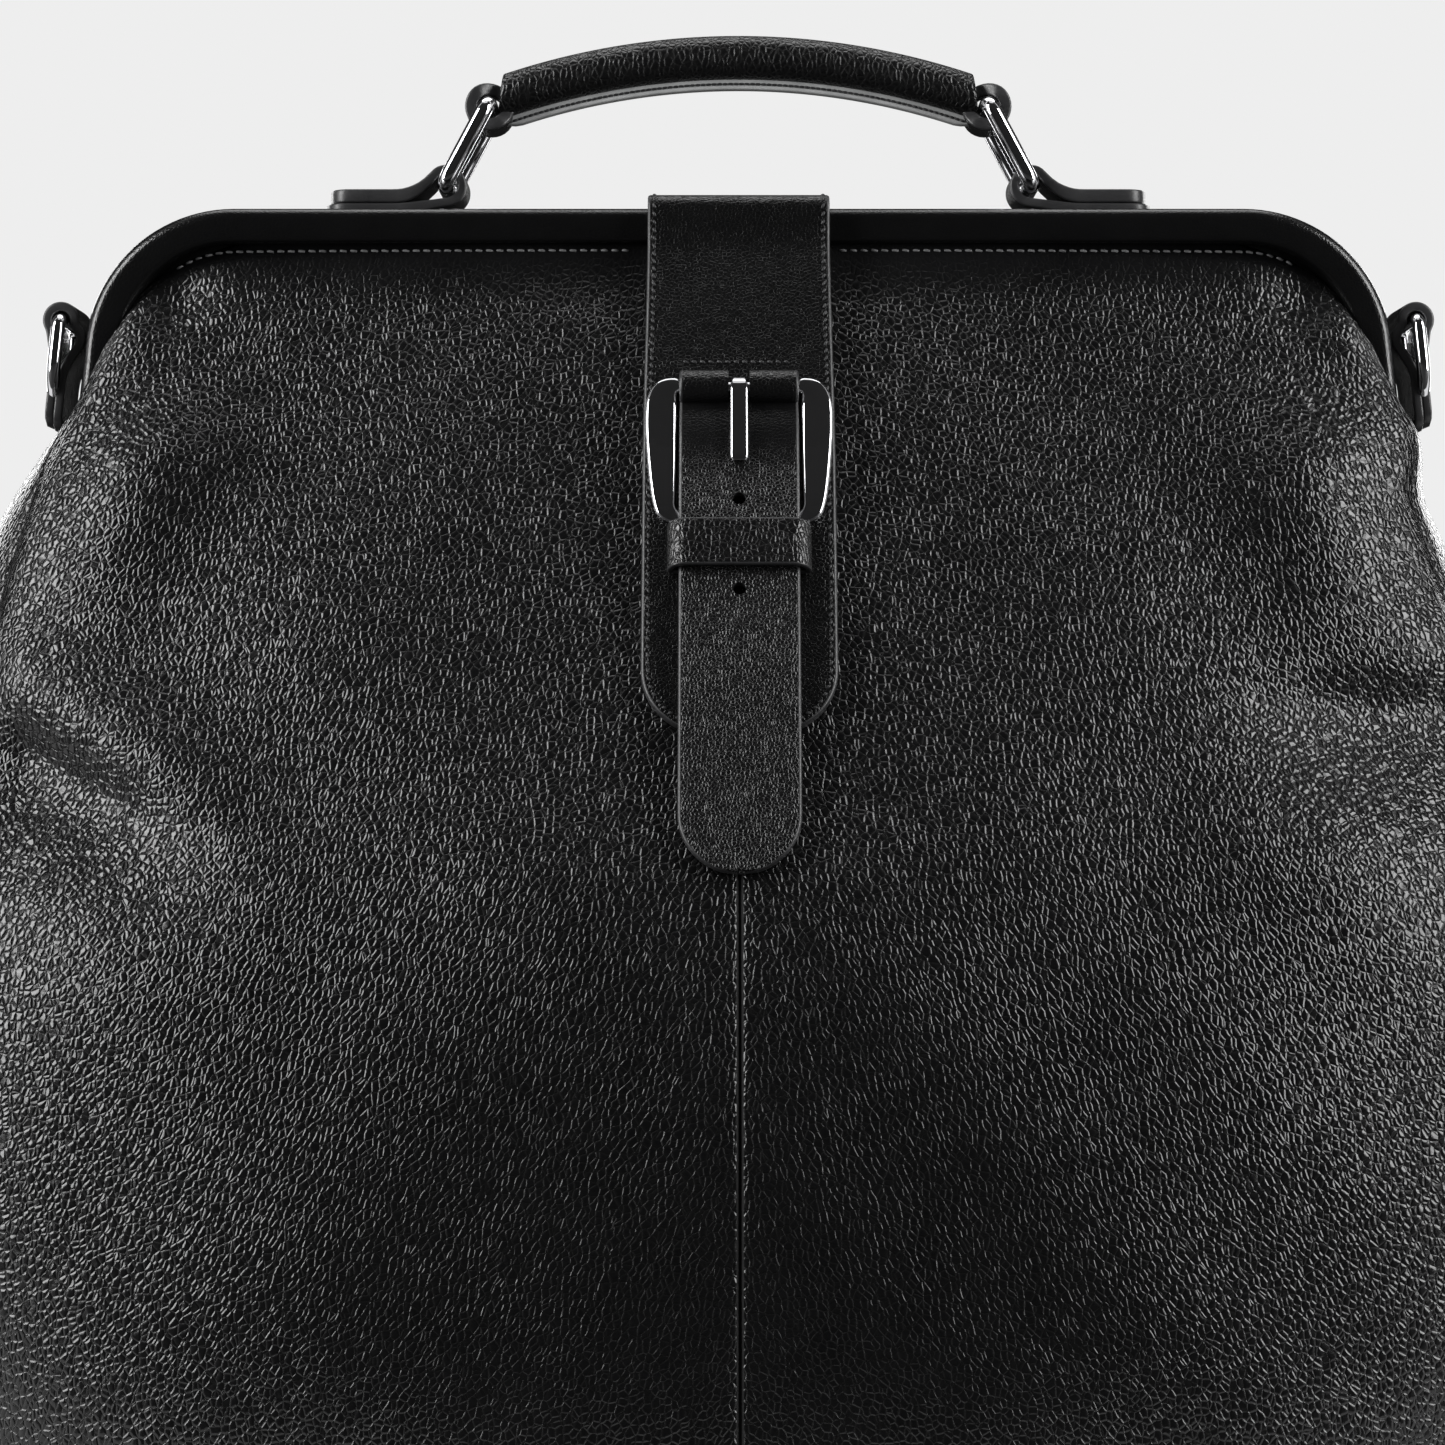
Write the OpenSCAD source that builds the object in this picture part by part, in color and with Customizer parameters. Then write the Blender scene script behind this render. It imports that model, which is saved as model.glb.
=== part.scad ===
// Doctor bag with a hinged frame, a buckled closure strap and a linked top handle.
// Millimetres. +Z is up, the front faces -Y, the origin is on the floor below the middle.

/* [Overall] */
// Height of the frame's top edge above the floor
frame_top = 350; // [320:1:390]
// Widest point of the leather body
body_w = 430; // [415:1:460]
// Deepest point of the leather body, front to back
body_d = 192; // [180:1:215]

/* [Frame] */
// Half of the straight run along the top of the frame
frame_run = 135; // [130:0.5:140]
// Outer radius of the frame's top corners
corner_r = 40; // [36:0.5:44]
// Outward splay of the legs, in degrees
splay = 6; // [5:0.5:9]
// Height of the covered band that forms the lip
lip_h = 10; // [9:0.5:12]
// Depth of one frame half, front to back
half_d = 16.5; // [15.5:0.5:18]
// Drop of the hinge axis below the top edge
hinge_drop = 125; // [118:1:132]
// Thickness of the steel strip inside the cover
core_t = 2.5; // [2:0.1:3]
// Radius of the hinge pins
pin_r = 2.4; // [2:0.1:3]

/* [Leather] */
// Thickness of the panels
panel_t = 2.4; // [1.8:0.1:3]
// Thickness of the lining
lining_t = 0.8; // [0.5:0.1:1.2]
// Upper edge of the soft fold, above the hinge axis
fold_up = 12; // [8:1:16]
// Lower edge of the soft fold, below the hinge axis
fold_down = 24; // [20:1:30]

/* [Strap] */
// Width of the closure strap
strap_w = 50; // [44:1:56]
// Thickness of the closure strap
strap_t = 3.4; // [2.8:0.1:4]
// Drop of the strap's rounded end below the frame top
strap_drop = 141; // [136:1:146]
// Width of the billet
billet_w = 31; // [28:0.5:32]
// Thickness of the billet
billet_t = 2.6; // [2:0.1:3]
// Drop of the billet's tip below the frame top
billet_drop = 176; // [170:1:182]
// Diameter of the billet's holes
hole_d = 2.9; // [2.5:0.1:3.5]
// Distance of the billet's first hole below the buckle's top bar
first_hole = 32.4; // [30:0.2:34]
// Distance between the billet's holes
hole_pitch = 25; // [20:0.5:25]

/* [Buckle] */
// Distance between the middles of the side rails
rail_pitch = 41; // [41:0.5:44]
// Half width of a side rail at its broad upper end
rail_r = 4.2; // [3.5:0.1:4.3]
// Half width of a side rail at its lower end
rail_end_r = 2.2; // [2:0.1:2.8]
// Drop of the buckle's top bar below the strap's bend
bar_drop = 47.6; // [45:0.1:48]
// Distance from the top bar to the bottom bar
bar_pitch = 36; // [33:0.5:36]
// Radius of the top bar
bar_r = 1.6; // [1.4:0.1:1.8]
// Length of the prong
prong_l = 23; // [20:0.5:25]
// Half width of the prong
prong_r = 2.35; // [2:0.05:2.6]

/* [Keeper] */
// Outer width of the keeper
keeper_w = 37; // [36:0.5:40]
// Length of the keeper along the strap
keeper_l = 13; // [10:0.5:14]
// Thickness of the keeper's leather
keeper_t = 1.5; // [1.2:0.1:1.6]

/* [Handle] */
// Radius of the grip's arch
arch_r = 199; // [180:1:220]
// Half of the grip's length, measured straight across
grip_half = 62.5; // [58:0.5:63]
// Height of the grip's middle above the frame top
crown_h = 44.4; // [44:0.1:47]
// Radius of the grip
grip_r = 6.3; // [5.8:0.1:6.8]
// Radius of the grip's core
grip_core_r = 3.4; // [2.5:0.1:4]
// Radius of the link wire
wire_r = 2.3; // [2:0.1:2.6]
// Inner radius of the leather loops
loop_r = 3.2; // [3.1:0.05:3.4]
// Distance between a link's two bars
link_pitch = 24.9; // [23:0.1:26]
// Inward lean of the links, in degrees
link_lean = 28.2; // [26:0.2:30]
// Distance of a link's lower bar from the middle of the bag
link_out = 79.6; // [78:0.2:83]
// Height of a link's lower bar above the frame top
link_low = 8.5; // [8:0.1:9]
// Width of the leather tabs and loops
tab_w = 15.5; // [13:0.5:15.8]
// Distance of a tab's outer end from the middle of the bag
tab_end = 111.5; // [104:0.5:116]
// Height of a tab's layers
tab_h = 7.1; // [6.5:0.1:7.6]

/* [D rings] */
// Radius of the D ring wire
ring_wire_r = 1.8; // [1.5:0.1:2]
// Half of the distance between a D ring's side wires
ring_half = 12.6; // [12.5:0.1:14]
// Straight length of a D ring's sides
ring_side = 10.4; // [8:0.2:12]
// Width of a D ring's leather tab
ring_tab_w = 20; // [16:0.5:20]
// Drop of a D ring's bar below the frame top
ring_drop = 30.4; // [29:0.2:33]

/* [Base] */
// Height of the feet
foot_h = 6; // [4:0.5:9]
// Radius of a foot where it stands
foot_r = 5; // [4:0.5:7]
// Thickness of the base board
board_t = 3; // [2:0.5:4]

/* [Hidden] */
$fn = 64;
leather = [0.07, 0.07, 0.075];
lining_grey = [0.24, 0.23, 0.22];
steel = [0.6, 0.61, 0.63];
board_brown = [0.4, 0.33, 0.26];
// Clearance between bodies that pass each other
pass = 0.3;
// Clearance of a running fit, on the radius
run_fit = 0.05;
half_w = body_w / 2;
half_b = body_d / 2;
corner_z = frame_top - corner_r;
hinge_z = frame_top - hinge_drop;
cover_gap = 0.15;
core_in = 3.2;
base_z = foot_h + panel_t;
base_drop = frame_top - base_z;
fold_top = hinge_drop - fold_up;
fold_low = hinge_drop + fold_down;
tuck_drop = lip_h + pass;
pass_drop = corner_r + 10;
ear_r = 8;
ear_x = leg_x(hinge_z + 12, core_in + core_t);
strap_y = half_d + 2 * pass;
bend_drop = 8;
strap_tilt = atan((mid_y(strap_drop, 0) + pass - strap_y) / (strap_drop - bend_drop));
strap_l = (strap_drop - bend_drop) / cos(strap_tilt);
strap_cut = (fold_top - bend_drop) / cos(strap_tilt) - 2;
tail_z = frame_top + 2 * pass;
tail_end = half_d - 1.5;
bar_y = -strap_t - 2.4;
billet_y = -strap_t - 2;
billet_l = (billet_drop - bend_drop) / cos(strap_tilt);
billet_dip = atan((-billet_y - 1.5) / (billet_l - strap_cut));
keeper_drop = bar_drop + bar_pitch + rail_end_r + 0.5;
handle_y = half_d / 2 + 0.15;
crown_z = frame_top + crown_h - arch_r;
grip_angle = asin(grip_half / arch_r);
link_in = link_out - link_pitch * sin(link_lean);
link_high = link_low + link_pitch * cos(link_lean);
link_half = tab_w / 2 + wire_r + 0.85;
link_bend = 3.4;
loop_t = 2.6;
rivet_x = (tab_end + link_out) / 2 + 5;
ring_seat_drop = ring_drop + 19.6;
ring_out = 8;
ring_up = 20;
ring_plate_t = 5;
ring_rivet_y = half_d / 3;
magnet_r = 5.5;
magnet_t = 1.6;
front_u = [for (i = [0:12]) sin(90 * i / 12)];
side_v = [for (i = [0:10]) sin(-90 + 18 * i)];
upper_rows = [
    tuck_drop, 0.4 * corner_r, 0.6 * corner_r, 0.85 * corner_r, 1.1 * corner_r,
    pass_drop, pass_drop + 8, pass_drop + 15, pass_drop + 30, fold_top
];
fold_rows = [fold_top, (fold_top + fold_low) / 2, fold_low];
side_rows = concat([for (i = [6:8]) upper_rows[i]], fold_rows);
lower_rows = [for (k = [0, 0.1, 0.25, 0.42, 0.6, 0.78, 0.91, 1]) fold_low + k * (base_drop - fold_low)];
foot_spots = [for (sx = [-1, 1], sy = [-1, 1]) [sx * 0.69 * half_w, sy * 0.6 * half_b]];

// Half width of the frame's outline on its splayed legs, at a height and an inset
function leg_x(z, inset) =
    let (r = corner_r - inset)
    frame_run + r * cos(splay) + (corner_z + r * sin(splay) - z) * tan(splay);

// Half width inside the frame's lip, at a drop below the top
function throat_x(t) =
    let (r = corner_r - tuck_drop, rise = corner_r - t)
    rise > r * sin(splay)
        ? frame_run + sqrt(max(0, r * r - rise * rise))
        : leg_x(frame_top - t, tuck_drop);

// Half width of the seams between the panels and the gussets, at a drop and an inset
function seam_x(t, d) =
    (t <= pass_drop ? throat_x(t) : lookup(t, [
        [pass_drop, throat_x(pass_drop)], [pass_drop + 8, 0.83 * half_w],
        [pass_drop + 15, 0.857 * half_w], [0.3 * frame_top, 0.903 * half_w],
        [0.43 * frame_top, 0.94 * half_w], [0.57 * frame_top, 0.958 * half_w],
        [0.8 * frame_top, 0.945 * half_w], [base_drop, 0.905 * half_w]
    ])) - 0.7 * d;

// Distance of those seams from the parting plane
function seam_y(t, d) = lookup(t, [
    [tuck_drop, 0.62 * half_d], [pass_drop, half_d + 3.5], [pass_drop + 15, half_d + 6],
    [0.3 * frame_top, 0.33 * half_b], [0.43 * frame_top, 0.42 * half_b],
    [0.57 * frame_top, 0.54 * half_b], [0.75 * frame_top, 0.61 * half_b],
    [base_drop, 0.58 * half_b]
]) - 0.7 * d;

// Distance of a panel's middle from the parting plane
function mid_y(t, d) = lookup(t, [
    [tuck_drop, half_d - 2.5], [0.514 * frame_top, 0.86 * half_b], [0.61 * frame_top, 0.955 * half_b],
    [0.71 * frame_top, half_b], [0.86 * frame_top, 0.98 * half_b], [base_drop, 0.91 * half_b]
]) - d;

// Half width of the body at the gussets' bulge
function bulge_x(t, d) = lookup(t, [
    [pass_drop, 0.875 * half_w], [0.243 * frame_top, 0.944 * half_w], [0.343 * frame_top, 0.99 * half_w],
    [0.46 * frame_top, half_w], [0.63 * frame_top, 0.995 * half_w],
    [0.8 * frame_top, 0.977 * half_w], [base_drop, 0.944 * half_w]
]) - d;

// Rounded profile from 1 in the middle to 0 at either edge
function crown(u) = pow(max(0, 1 - pow(abs(u), 2.6)), 0.6);

// Point of the front panel, u from -1 to 1 across it
function front_point(u, t, d) = [
    u * seam_x(t, d),
    -seam_y(t, d) - (mid_y(t, d) - seam_y(t, d)) * crown(u),
    frame_top - t
];

// Point of the right gusset, v from -1 at the front seam to 1 at the rear seam
function side_point(v, t, d) = [
    seam_x(t, d) + (bulge_x(t, d) - seam_x(t, d)) * crown(v),
    seam_y(t, d) * v,
    frame_top - t
];

// Triangles of a shell whose outer grid of points comes first and its inner grid second
function shell_faces(n, m) =
    let (k = n * m)
    concat(
        [for (i = [0:n - 2], j = [0:m - 2]) let (a = i * m + j) each [
            [a, a + 1, a + m + 1], [a, a + m + 1, a + m],
            [k + a + m + 1, k + a + 1, k + a], [k + a + m, k + a + m + 1, k + a]
        ]],
        [for (j = [0:m - 2]) let (b = (n - 1) * m + j) each [
            [j + 1, j, k + j], [j + 1, k + j, k + j + 1],
            [b, b + 1, k + b + 1], [b, k + b + 1, k + b]
        ]],
        [for (i = [0:n - 2]) let (a = i * m, b = i * m + m - 1) each [
            [a, a + m, k + a + m], [a, k + a + m, k + a],
            [b + m, b, k + b], [b + m, k + b, k + b + m]
        ]]
    );

// Front panel leather between two insets
module front_shell(rows, cols, d0, d1) {
    polyhedron(
        points = [for (d = [d0, d1], t = rows, u = cols) front_point(u, t, d)],
        faces = shell_faces(len(rows), len(cols))
    );
}

// Right gusset leather between two insets
module side_shell(rows, d0, d1) {
    polyhedron(
        points = [for (d = [d0, d1], t = rows, v = side_v) side_point(v, t, d)],
        faces = shell_faces(len(rows), len(side_v))
    );
}

function left_half(cols) = [for (i = [len(cols) - 1:-1:0]) -cols[i]];
function both_halves(cols) = concat(left_half(cols), [for (i = [1:len(cols) - 1]) cols[i]]);

// Right-hand corner of the frame's outline, from the leg up to the top run
function corner(inset) =
    let (r = corner_r - inset)
    [for (i = [0:16])
        let (a = splay + (90 - splay) * i / 16)
        [frame_run + r * cos(a), corner_z + r * sin(a)]
    ];

// Area inside the frame's outline, drawn upright as X and Z
module outline(inset, bottom) {
    right = corner(inset);
    foot = leg_x(bottom, inset);
    polygon(concat(
        right,
        [for (i = [len(right) - 1:-1:0]) [-right[i][0], right[i][1]]],
        [[-foot, bottom], [foot, bottom]]
    ));
}

// Front half of a band that follows the frame, between two insets and two depths
module band(in0, in1, y0, y1, bottom) {
    translate([0, -y0, 0])
        rotate([90, 0, 0])
            linear_extrude(y1 - y0)
                difference() {
                    outline(in0, bottom);
                    outline(in1, bottom - 5);
                }
}

// Cylinder along X from x0 to x1
module rod_x(r, x0, x1) {
    translate([x0, 0, 0]) rotate([0, 90, 0]) cylinder(r = r, h = x1 - x0);
}

// Cylinder along Y, centred
module rod_y(r, l) {
    rotate([90, 0, 0]) cylinder(r = r, h = l, center = true);
}

// Steel strip of one half with its right-hand hinge ear at x
module strip(x, web) {
    band(core_in, core_in + core_t, 1.6, half_d - 1.5, hinge_z + 12);
    for (s = [0, 1]) mirror([s, 0, 0]) difference() {
        union() {
            translate([x, 0, hinge_z]) rod_x(ear_r, 0, core_t);
            translate([x, -ear_r - 4, hinge_z]) cube([core_t, ear_r + 4, 16]);
            translate([ear_x, -ear_r - 4, hinge_z + 10]) cube([web, ear_r + 1, 6]);
        }
        translate([0, 0, hinge_z]) rod_x(pin_r + run_fit, ear_x - 1, ear_x + 4 * core_t);
    }
}

// Leather cover of one half
module cover() {
    difference() {
        band(0, lip_h, cover_gap, half_d, hinge_z + 18);
        band(core_in, core_in + core_t, 1.6, half_d - 1.5, hinge_z + 12);
    }
}

module front_frame() {
    color(steel) strip(ear_x, core_t);
}

module rear_frame() {
    color(steel) difference() {
        mirror([0, 1, 0]) strip(ear_x + core_t + 2 * run_fit + pass, 2 * core_t + 2 * run_fit + pass);
        rivet_holes();
    }
}

module front_frame_cover() {
    color(leather) cover();
}

module rear_frame_cover() {
    color(leather) difference() {
        mirror([0, 1, 0]) cover();
        translate([0, handle_y, frame_top - magnet_t]) cylinder(r = magnet_r, h = magnet_t + 1);
        rivet_holes();
    }
}

module hinge_pins() {
    color(steel) for (s = [0, 1]) mirror([s, 0, 0]) translate([0, 0, hinge_z]) {
        rod_x(pin_r, ear_x - 2, ear_x + 2 * core_t + pass + 2);
        rod_x(pin_r + 1.8, ear_x - 2, ear_x - 0.1);
        rod_x(pin_r + 1.8, ear_x + 2 * core_t + pass + 0.2, ear_x + 2 * core_t + pass + 2);
    }
}

module front_panel_upper_left() {
    color(leather) front_shell(upper_rows, left_half(front_u), 0, panel_t);
}

module front_panel_upper_right() {
    color(leather) front_shell(upper_rows, front_u, 0, panel_t);
}

module front_panel_fold() {
    color(leather) front_shell(fold_rows, both_halves(front_u), 0, panel_t);
}

module front_panel_lower_left() {
    color(leather) front_shell(lower_rows, left_half(front_u), 0, panel_t);
}

module front_panel_lower_right() {
    color(leather) front_shell(lower_rows, front_u, 0, panel_t);
}

// Rows of a rear panel, which runs unbroken from the frame to the base
function whole_rows() = concat(
    upper_rows,
    [for (i = [1:len(fold_rows) - 1]) fold_rows[i]],
    [for (i = [1:len(lower_rows) - 1]) lower_rows[i]]
);

module rear_panel_left() {
    color(leather) mirror([0, 1, 0]) front_shell(whole_rows(), left_half(front_u), 0, panel_t);
}

module rear_panel_right() {
    color(leather) mirror([0, 1, 0]) front_shell(whole_rows(), front_u, 0, panel_t);
}

module gusset_upper_right() {
    color(leather) side_shell(side_rows, 0, panel_t);
}

module gusset_upper_left() {
    color(leather) mirror([1, 0, 0]) side_shell(side_rows, 0, panel_t);
}

module gusset_lower_right() {
    color(leather) side_shell(lower_rows, 0, panel_t);
}

module gusset_lower_left() {
    color(leather) mirror([1, 0, 0]) side_shell(lower_rows, 0, panel_t);
}

module lining_front() {
    color(lining_grey) front_shell(upper_rows, both_halves(front_u), panel_t, panel_t + lining_t);
}

module lining_rear() {
    color(lining_grey)
        mirror([0, 1, 0]) front_shell(whole_rows(), both_halves(front_u), panel_t, panel_t + lining_t);
}

module lining_lower() {
    color(lining_grey) {
        front_shell(lower_rows, both_halves(front_u), panel_t, panel_t + lining_t);
        for (s = [0, 1]) mirror([s, 0, 0]) side_shell(lower_rows, panel_t, panel_t + lining_t);
    }
}

// Closed outline of the body at a drop and an inset
function girth(t, d) =
    let (
        front = [for (u = both_halves(front_u)) front_point(u, t, d)],
        right = [for (i = [1:len(side_v) - 2]) side_point(side_v[i], t, d)]
    )
    concat(
        [for (p = front) [p[0], p[1]]],
        [for (p = right) [p[0], p[1]]],
        [for (i = [len(front) - 1:-1:0]) [front[i][0], -front[i][1]]],
        [for (i = [len(right) - 1:-1:0]) [-right[i][0], right[i][1]]]
    );

module base_panel() {
    color(leather) translate([0, 0, foot_h]) linear_extrude(panel_t) difference() {
        polygon(girth(base_drop, 0));
        for (p = foot_spots) translate(p) circle(r = foot_r / 2);
    }
}

module base_board() {
    color(board_brown) translate([0, 0, base_z]) linear_extrude(board_t) difference() {
        polygon(girth(base_drop, panel_t + lining_t + 2));
        for (p = foot_spots) translate(p) circle(r = foot_r / 2);
    }
}

module feet() {
    color(steel) for (p = foot_spots) translate(p) {
        cylinder(r1 = foot_r, r2 = foot_r + 2, h = foot_h);
        cylinder(r = foot_r / 2, h = base_z + board_t);
        translate([0, 0, base_z + board_t]) cylinder(r = foot_r, h = 1);
    }
}

// Places a piece on the strap's slope: Z runs up the strap and -Y faces out
module on_strap() {
    translate([0, -strap_y, frame_top - bend_drop]) rotate([-strap_tilt, 0, 0]) children();
}

// Plate on the strap between two drops along it, with its inner face at y
module strap_plate(w, y, t, l0, l1) {
    translate([-w / 2, y - t, -l1]) cube([w, t, l1 - l0]);
}

// Plate whose lower end is rounded
module rounded_plate(w, r, y, t, l0, l1) {
    strap_plate(w, y, t, l0, l1 - r);
    strap_plate(w - 2 * r, y, t, l0, l1);
    for (s = [-1, 1]) intersection() {
        translate([s * (w / 2 - r), y - t / 2, r - l1]) rod_y(r, t);
        strap_plate(w, y, t, l1 - r, l1);
    }
}

// Point on the strap's slope, drawn sideways as Y and Z
function slope_point(y, l) = [
    -strap_y + y * cos(strap_tilt) - l * sin(strap_tilt),
    frame_top - bend_drop - y * sin(strap_tilt) - l * cos(strap_tilt)
];

module closure_strap() {
    color(leather) rotate([90, 0, 90]) linear_extrude(strap_w, center = true) polygon([
        [-strap_y, tail_z + strap_t],
        slope_point(0, 0),
        slope_point(0, strap_cut),
        slope_point(-strap_t, strap_cut),
        slope_point(-strap_t, strap_t * tan(strap_tilt / 2)),
        [-strap_y - strap_t, tail_z + strap_t]
    ]);
}

module closure_strap_end() {
    color(leather) on_strap() rounded_plate(strap_w, 0.34 * strap_w, 0, strap_t, strap_cut + 0.05, strap_l);
}

module strap_tail() {
    color(leather) difference() {
        translate([-strap_w / 2, -strap_y + pass, tail_z])
            cube([strap_w, strap_y - pass + tail_end, strap_t]);
        translate([0, handle_y, tail_z - 1]) cylinder(r = magnet_r, h = magnet_t + 1);
    }
}

module magnet_disc() {
    color(steel) translate([0, handle_y, tail_z]) cylinder(r = magnet_r, h = magnet_t);
}

module magnet_plate() {
    color(steel) translate([0, handle_y, frame_top - magnet_t]) cylinder(r = magnet_r, h = magnet_t);
}

// Half-round rail of the buckle between two corners, broad at the top
module rail() {
    high = 4.8;
    low = 4.9;
    difference() {
        translate([0, 0, low - bar_pitch])
            cylinder(r1 = rail_end_r, r2 = rail_r, h = bar_pitch - high - low);
        translate([-rail_r - 1, 0, -bar_pitch]) cube([2 * rail_r + 2, rail_r + 1, bar_pitch]);
    }
    translate([-high, 0, -high]) rail_bend(rail_r, high);
    translate([-low, 0, low - bar_pitch]) mirror([0, 0, 1]) rail_bend(rail_end_r, low);
}

// Quarter turn of a half-round rail
module rail_bend(r, corner) {
    rotate([90, 0, 0]) rotate_extrude(angle = 90) translate([corner, 0]) intersection() {
        circle(r = r);
        translate([-r, 0]) square([2 * r, r]);
    }
}

module buckle_frame() {
    x = rail_pitch / 2;
    color(steel) on_strap() translate([0, -strap_t - 0.1, -bar_drop]) {
        for (s = [0, 1]) mirror([s, 0, 0]) translate([x, 0, 0]) rail();
        translate([0, bar_y + strap_t + 0.1, 0]) rod_x(bar_r, -x + 3, x - 3);
        translate([-x + 4, -1.8, -bar_pitch - 2]) cube([2 * x - 8, 1.8, 4]);
    }
}

module buckle_prong() {
    y = billet_y - billet_t - 0.2;
    color(steel) on_strap() translate([0, 0, -bar_drop]) {
        difference() {
            union() {
                translate([0, bar_y, 0]) rod_x(bar_r + 0.7, -prong_r, prong_r);
                intersection() {
                    translate([0, y, 1.4 - prong_l]) union() {
                        cylinder(r = prong_r, h = prong_l);
                        sphere(r = prong_r);
                    }
                    translate([-5, y - 5, -prong_l - 5]) cube([10, 5, prong_l + 10]);
                }
                translate([-prong_r, y - 0.5, -1.4]) cube([2 * prong_r, bar_y - y + 0.5, 2.8]);
            }
            translate([0, bar_y, 0]) rod_x(bar_r + run_fit, -5, 5);
        }
    }
}

module buckle_chape() {
    w = billet_w;
    color(leather) on_strap() difference() {
        union() {
            intersection() {
                translate([0, bar_y, -bar_drop]) rod_x(bar_r + 2.7, -w / 2, w / 2);
                strap_plate(w, -strap_t - 0.1, 10, bar_drop - 10, bar_drop + 10);
            }
            strap_plate(w, -strap_t - 0.1, 2.2, bar_drop - 7, bar_drop - 2);
        }
        translate([0, bar_y, -bar_drop]) rod_x(bar_r + run_fit, -w, w);
        strap_plate(2 * prong_r + 0.8, 0, 20, bar_drop - 6.5, bar_drop + 10);
    }
}

module billet_strap() {
    color(leather) on_strap() difference() {
        strap_plate(billet_w, billet_y, billet_t, bar_drop + 4.6, strap_cut);
        for (l = [0, 1]) translate([0, billet_y - billet_t / 2, -bar_drop - first_hole - l * hole_pitch])
            rod_y(hole_d / 2, billet_t + 2);
    }
}

module billet_end() {
    color(leather) on_strap() translate([0, billet_y, -strap_cut]) rotate([billet_dip, 0, 0])
        rounded_plate(billet_w, 0.48 * billet_w, 0, billet_t, 0.2,
            (billet_l - strap_cut) / cos(billet_dip));
}

module strap_keeper() {
    low = keeper_drop + keeper_l;
    color(leather) on_strap() difference() {
        strap_plate(keeper_w, -strap_t - 0.2, billet_t + 2 * keeper_t + 1, keeper_drop, low);
        strap_plate(billet_w + 0.6, billet_y + 0.15, billet_t + 0.4, keeper_drop - 1, low + 1);
    }
}

// Places a piece in the handle's plane, with the middle of the grip's arch at the origin
module at_arch() {
    translate([0, handle_y, crown_z]) rotate([90, 0, 0]) rotate([0, 0, 90 - grip_angle]) children();
}

module handle_grip() {
    color(leather) at_arch() rotate_extrude(angle = 2 * grip_angle) translate([arch_r, 0]) difference() {
        circle(r = grip_r);
        circle(r = grip_core_r);
    }
}

module handle_core() {
    color(board_brown) at_arch() rotate_extrude(angle = 2 * grip_angle) translate([arch_r, 0])
        circle(r = grip_core_r);
}

// Right-hand leather loop that joins the grip to a link
module grip_loop() {
    color(leather) difference() {
        union() {
            translate([link_in, handle_y, frame_top + link_high]) rod_y(loop_r + loop_t, 0.8 * tab_w);
            translate([link_in, handle_y, frame_top + link_high]) rotate([0, grip_angle, 0])
                translate([-12, -0.4 * tab_w, -0.6]) cube([12, 0.8 * tab_w, 4.8]);
        }
        translate([link_in, handle_y, frame_top + link_high]) rod_y(loop_r, tab_w);
        at_arch() rotate([0, 0, -0.02]) rotate_extrude(angle = 2 * grip_angle + 0.04)
            translate([arch_r, 0]) circle(r = grip_r + 4);
    }
}

module handle_loop_right() {
    grip_loop();
}

module handle_loop_left() {
    mirror([1, 0, 0]) grip_loop();
}

// Right-hand wire link, hung between the tab's loop and the grip's loop
module link() {
    color(steel) translate([link_out, handle_y, frame_top + link_low]) rotate([0, -link_lean, 0]) {
        for (z = [0, link_pitch]) translate([0, 0, z]) rod_y(wire_r, 2 * (link_half - link_bend));
        for (s = [-1, 1]) translate([0, s * link_half, link_bend])
            cylinder(r = wire_r, h = link_pitch - 2 * link_bend);
        translate([0, 0, link_pitch / 2]) rotate([90, 0, 90]) for (k = [0:3]) {
            sx = k == 0 || k == 3 ? 1 : -1;
            sy = k < 2 ? 1 : -1;
            translate([sx * (link_half - link_bend), sy * (link_pitch / 2 - link_bend), 0])
                rotate([0, 0, 90 * k]) rotate_extrude(angle = 90)
                    translate([link_bend, 0]) circle(r = wire_r);
        }
    }
}

module handle_link_right() {
    link();
}

module handle_link_left() {
    mirror([1, 0, 0]) link();
}

// Right-hand leather tab on the rear half's top, folded round a link
module tab() {
    z = frame_top + 0.1;
    color(leather) difference() {
        union() {
            translate([link_out, handle_y, frame_top + link_low]) rod_y(loop_r + loop_t, tab_w);
            translate([link_out, handle_y - tab_w / 2, z]) cube([tab_end - link_out, tab_w, tab_h]);
        }
        translate([link_out, handle_y, frame_top + link_low]) rod_y(loop_r, tab_w + 2);
        rivet_holes();
    }
}

module handle_tab_right() {
    tab();
}

module handle_tab_left() {
    mirror([1, 0, 0]) tab();
}

// Right-hand handle tab's rivet, with a sunk head
module tab_shank() {
    translate([rivet_x, handle_y, frame_top - core_in - core_t - 1])
        cylinder(r = 1.5, h = core_in + core_t + tab_h - 0.4);
    translate([rivet_x, handle_y, frame_top + tab_h - 1.6]) cylinder(r1 = 1.4, r2 = 3.4, h = 1.9);
}

// Shank of the right-hand D ring tab's rivet
module ring_shank() {
    at_ring() translate([0, ring_rivet_y, -14])
        rod_x(1.5, -core_in - core_t - 1, ring_plate_t + pass + 1);
}

module rivet_holes() {
    for (s = [0, 1]) mirror([s, 0, 0]) {
        tab_shank();
        ring_shank();
    }
}

module tab_rivets() {
    color(steel) for (s = [0, 1]) mirror([s, 0, 0]) tab_shank();
}

// Places a piece on the right-hand leg: X faces out and Z runs up the leg
module at_ring() {
    translate([leg_x(frame_top - ring_seat_drop, 0), 0, frame_top - ring_seat_drop])
        rotate([0, -splay, 0]) children();
}

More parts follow.
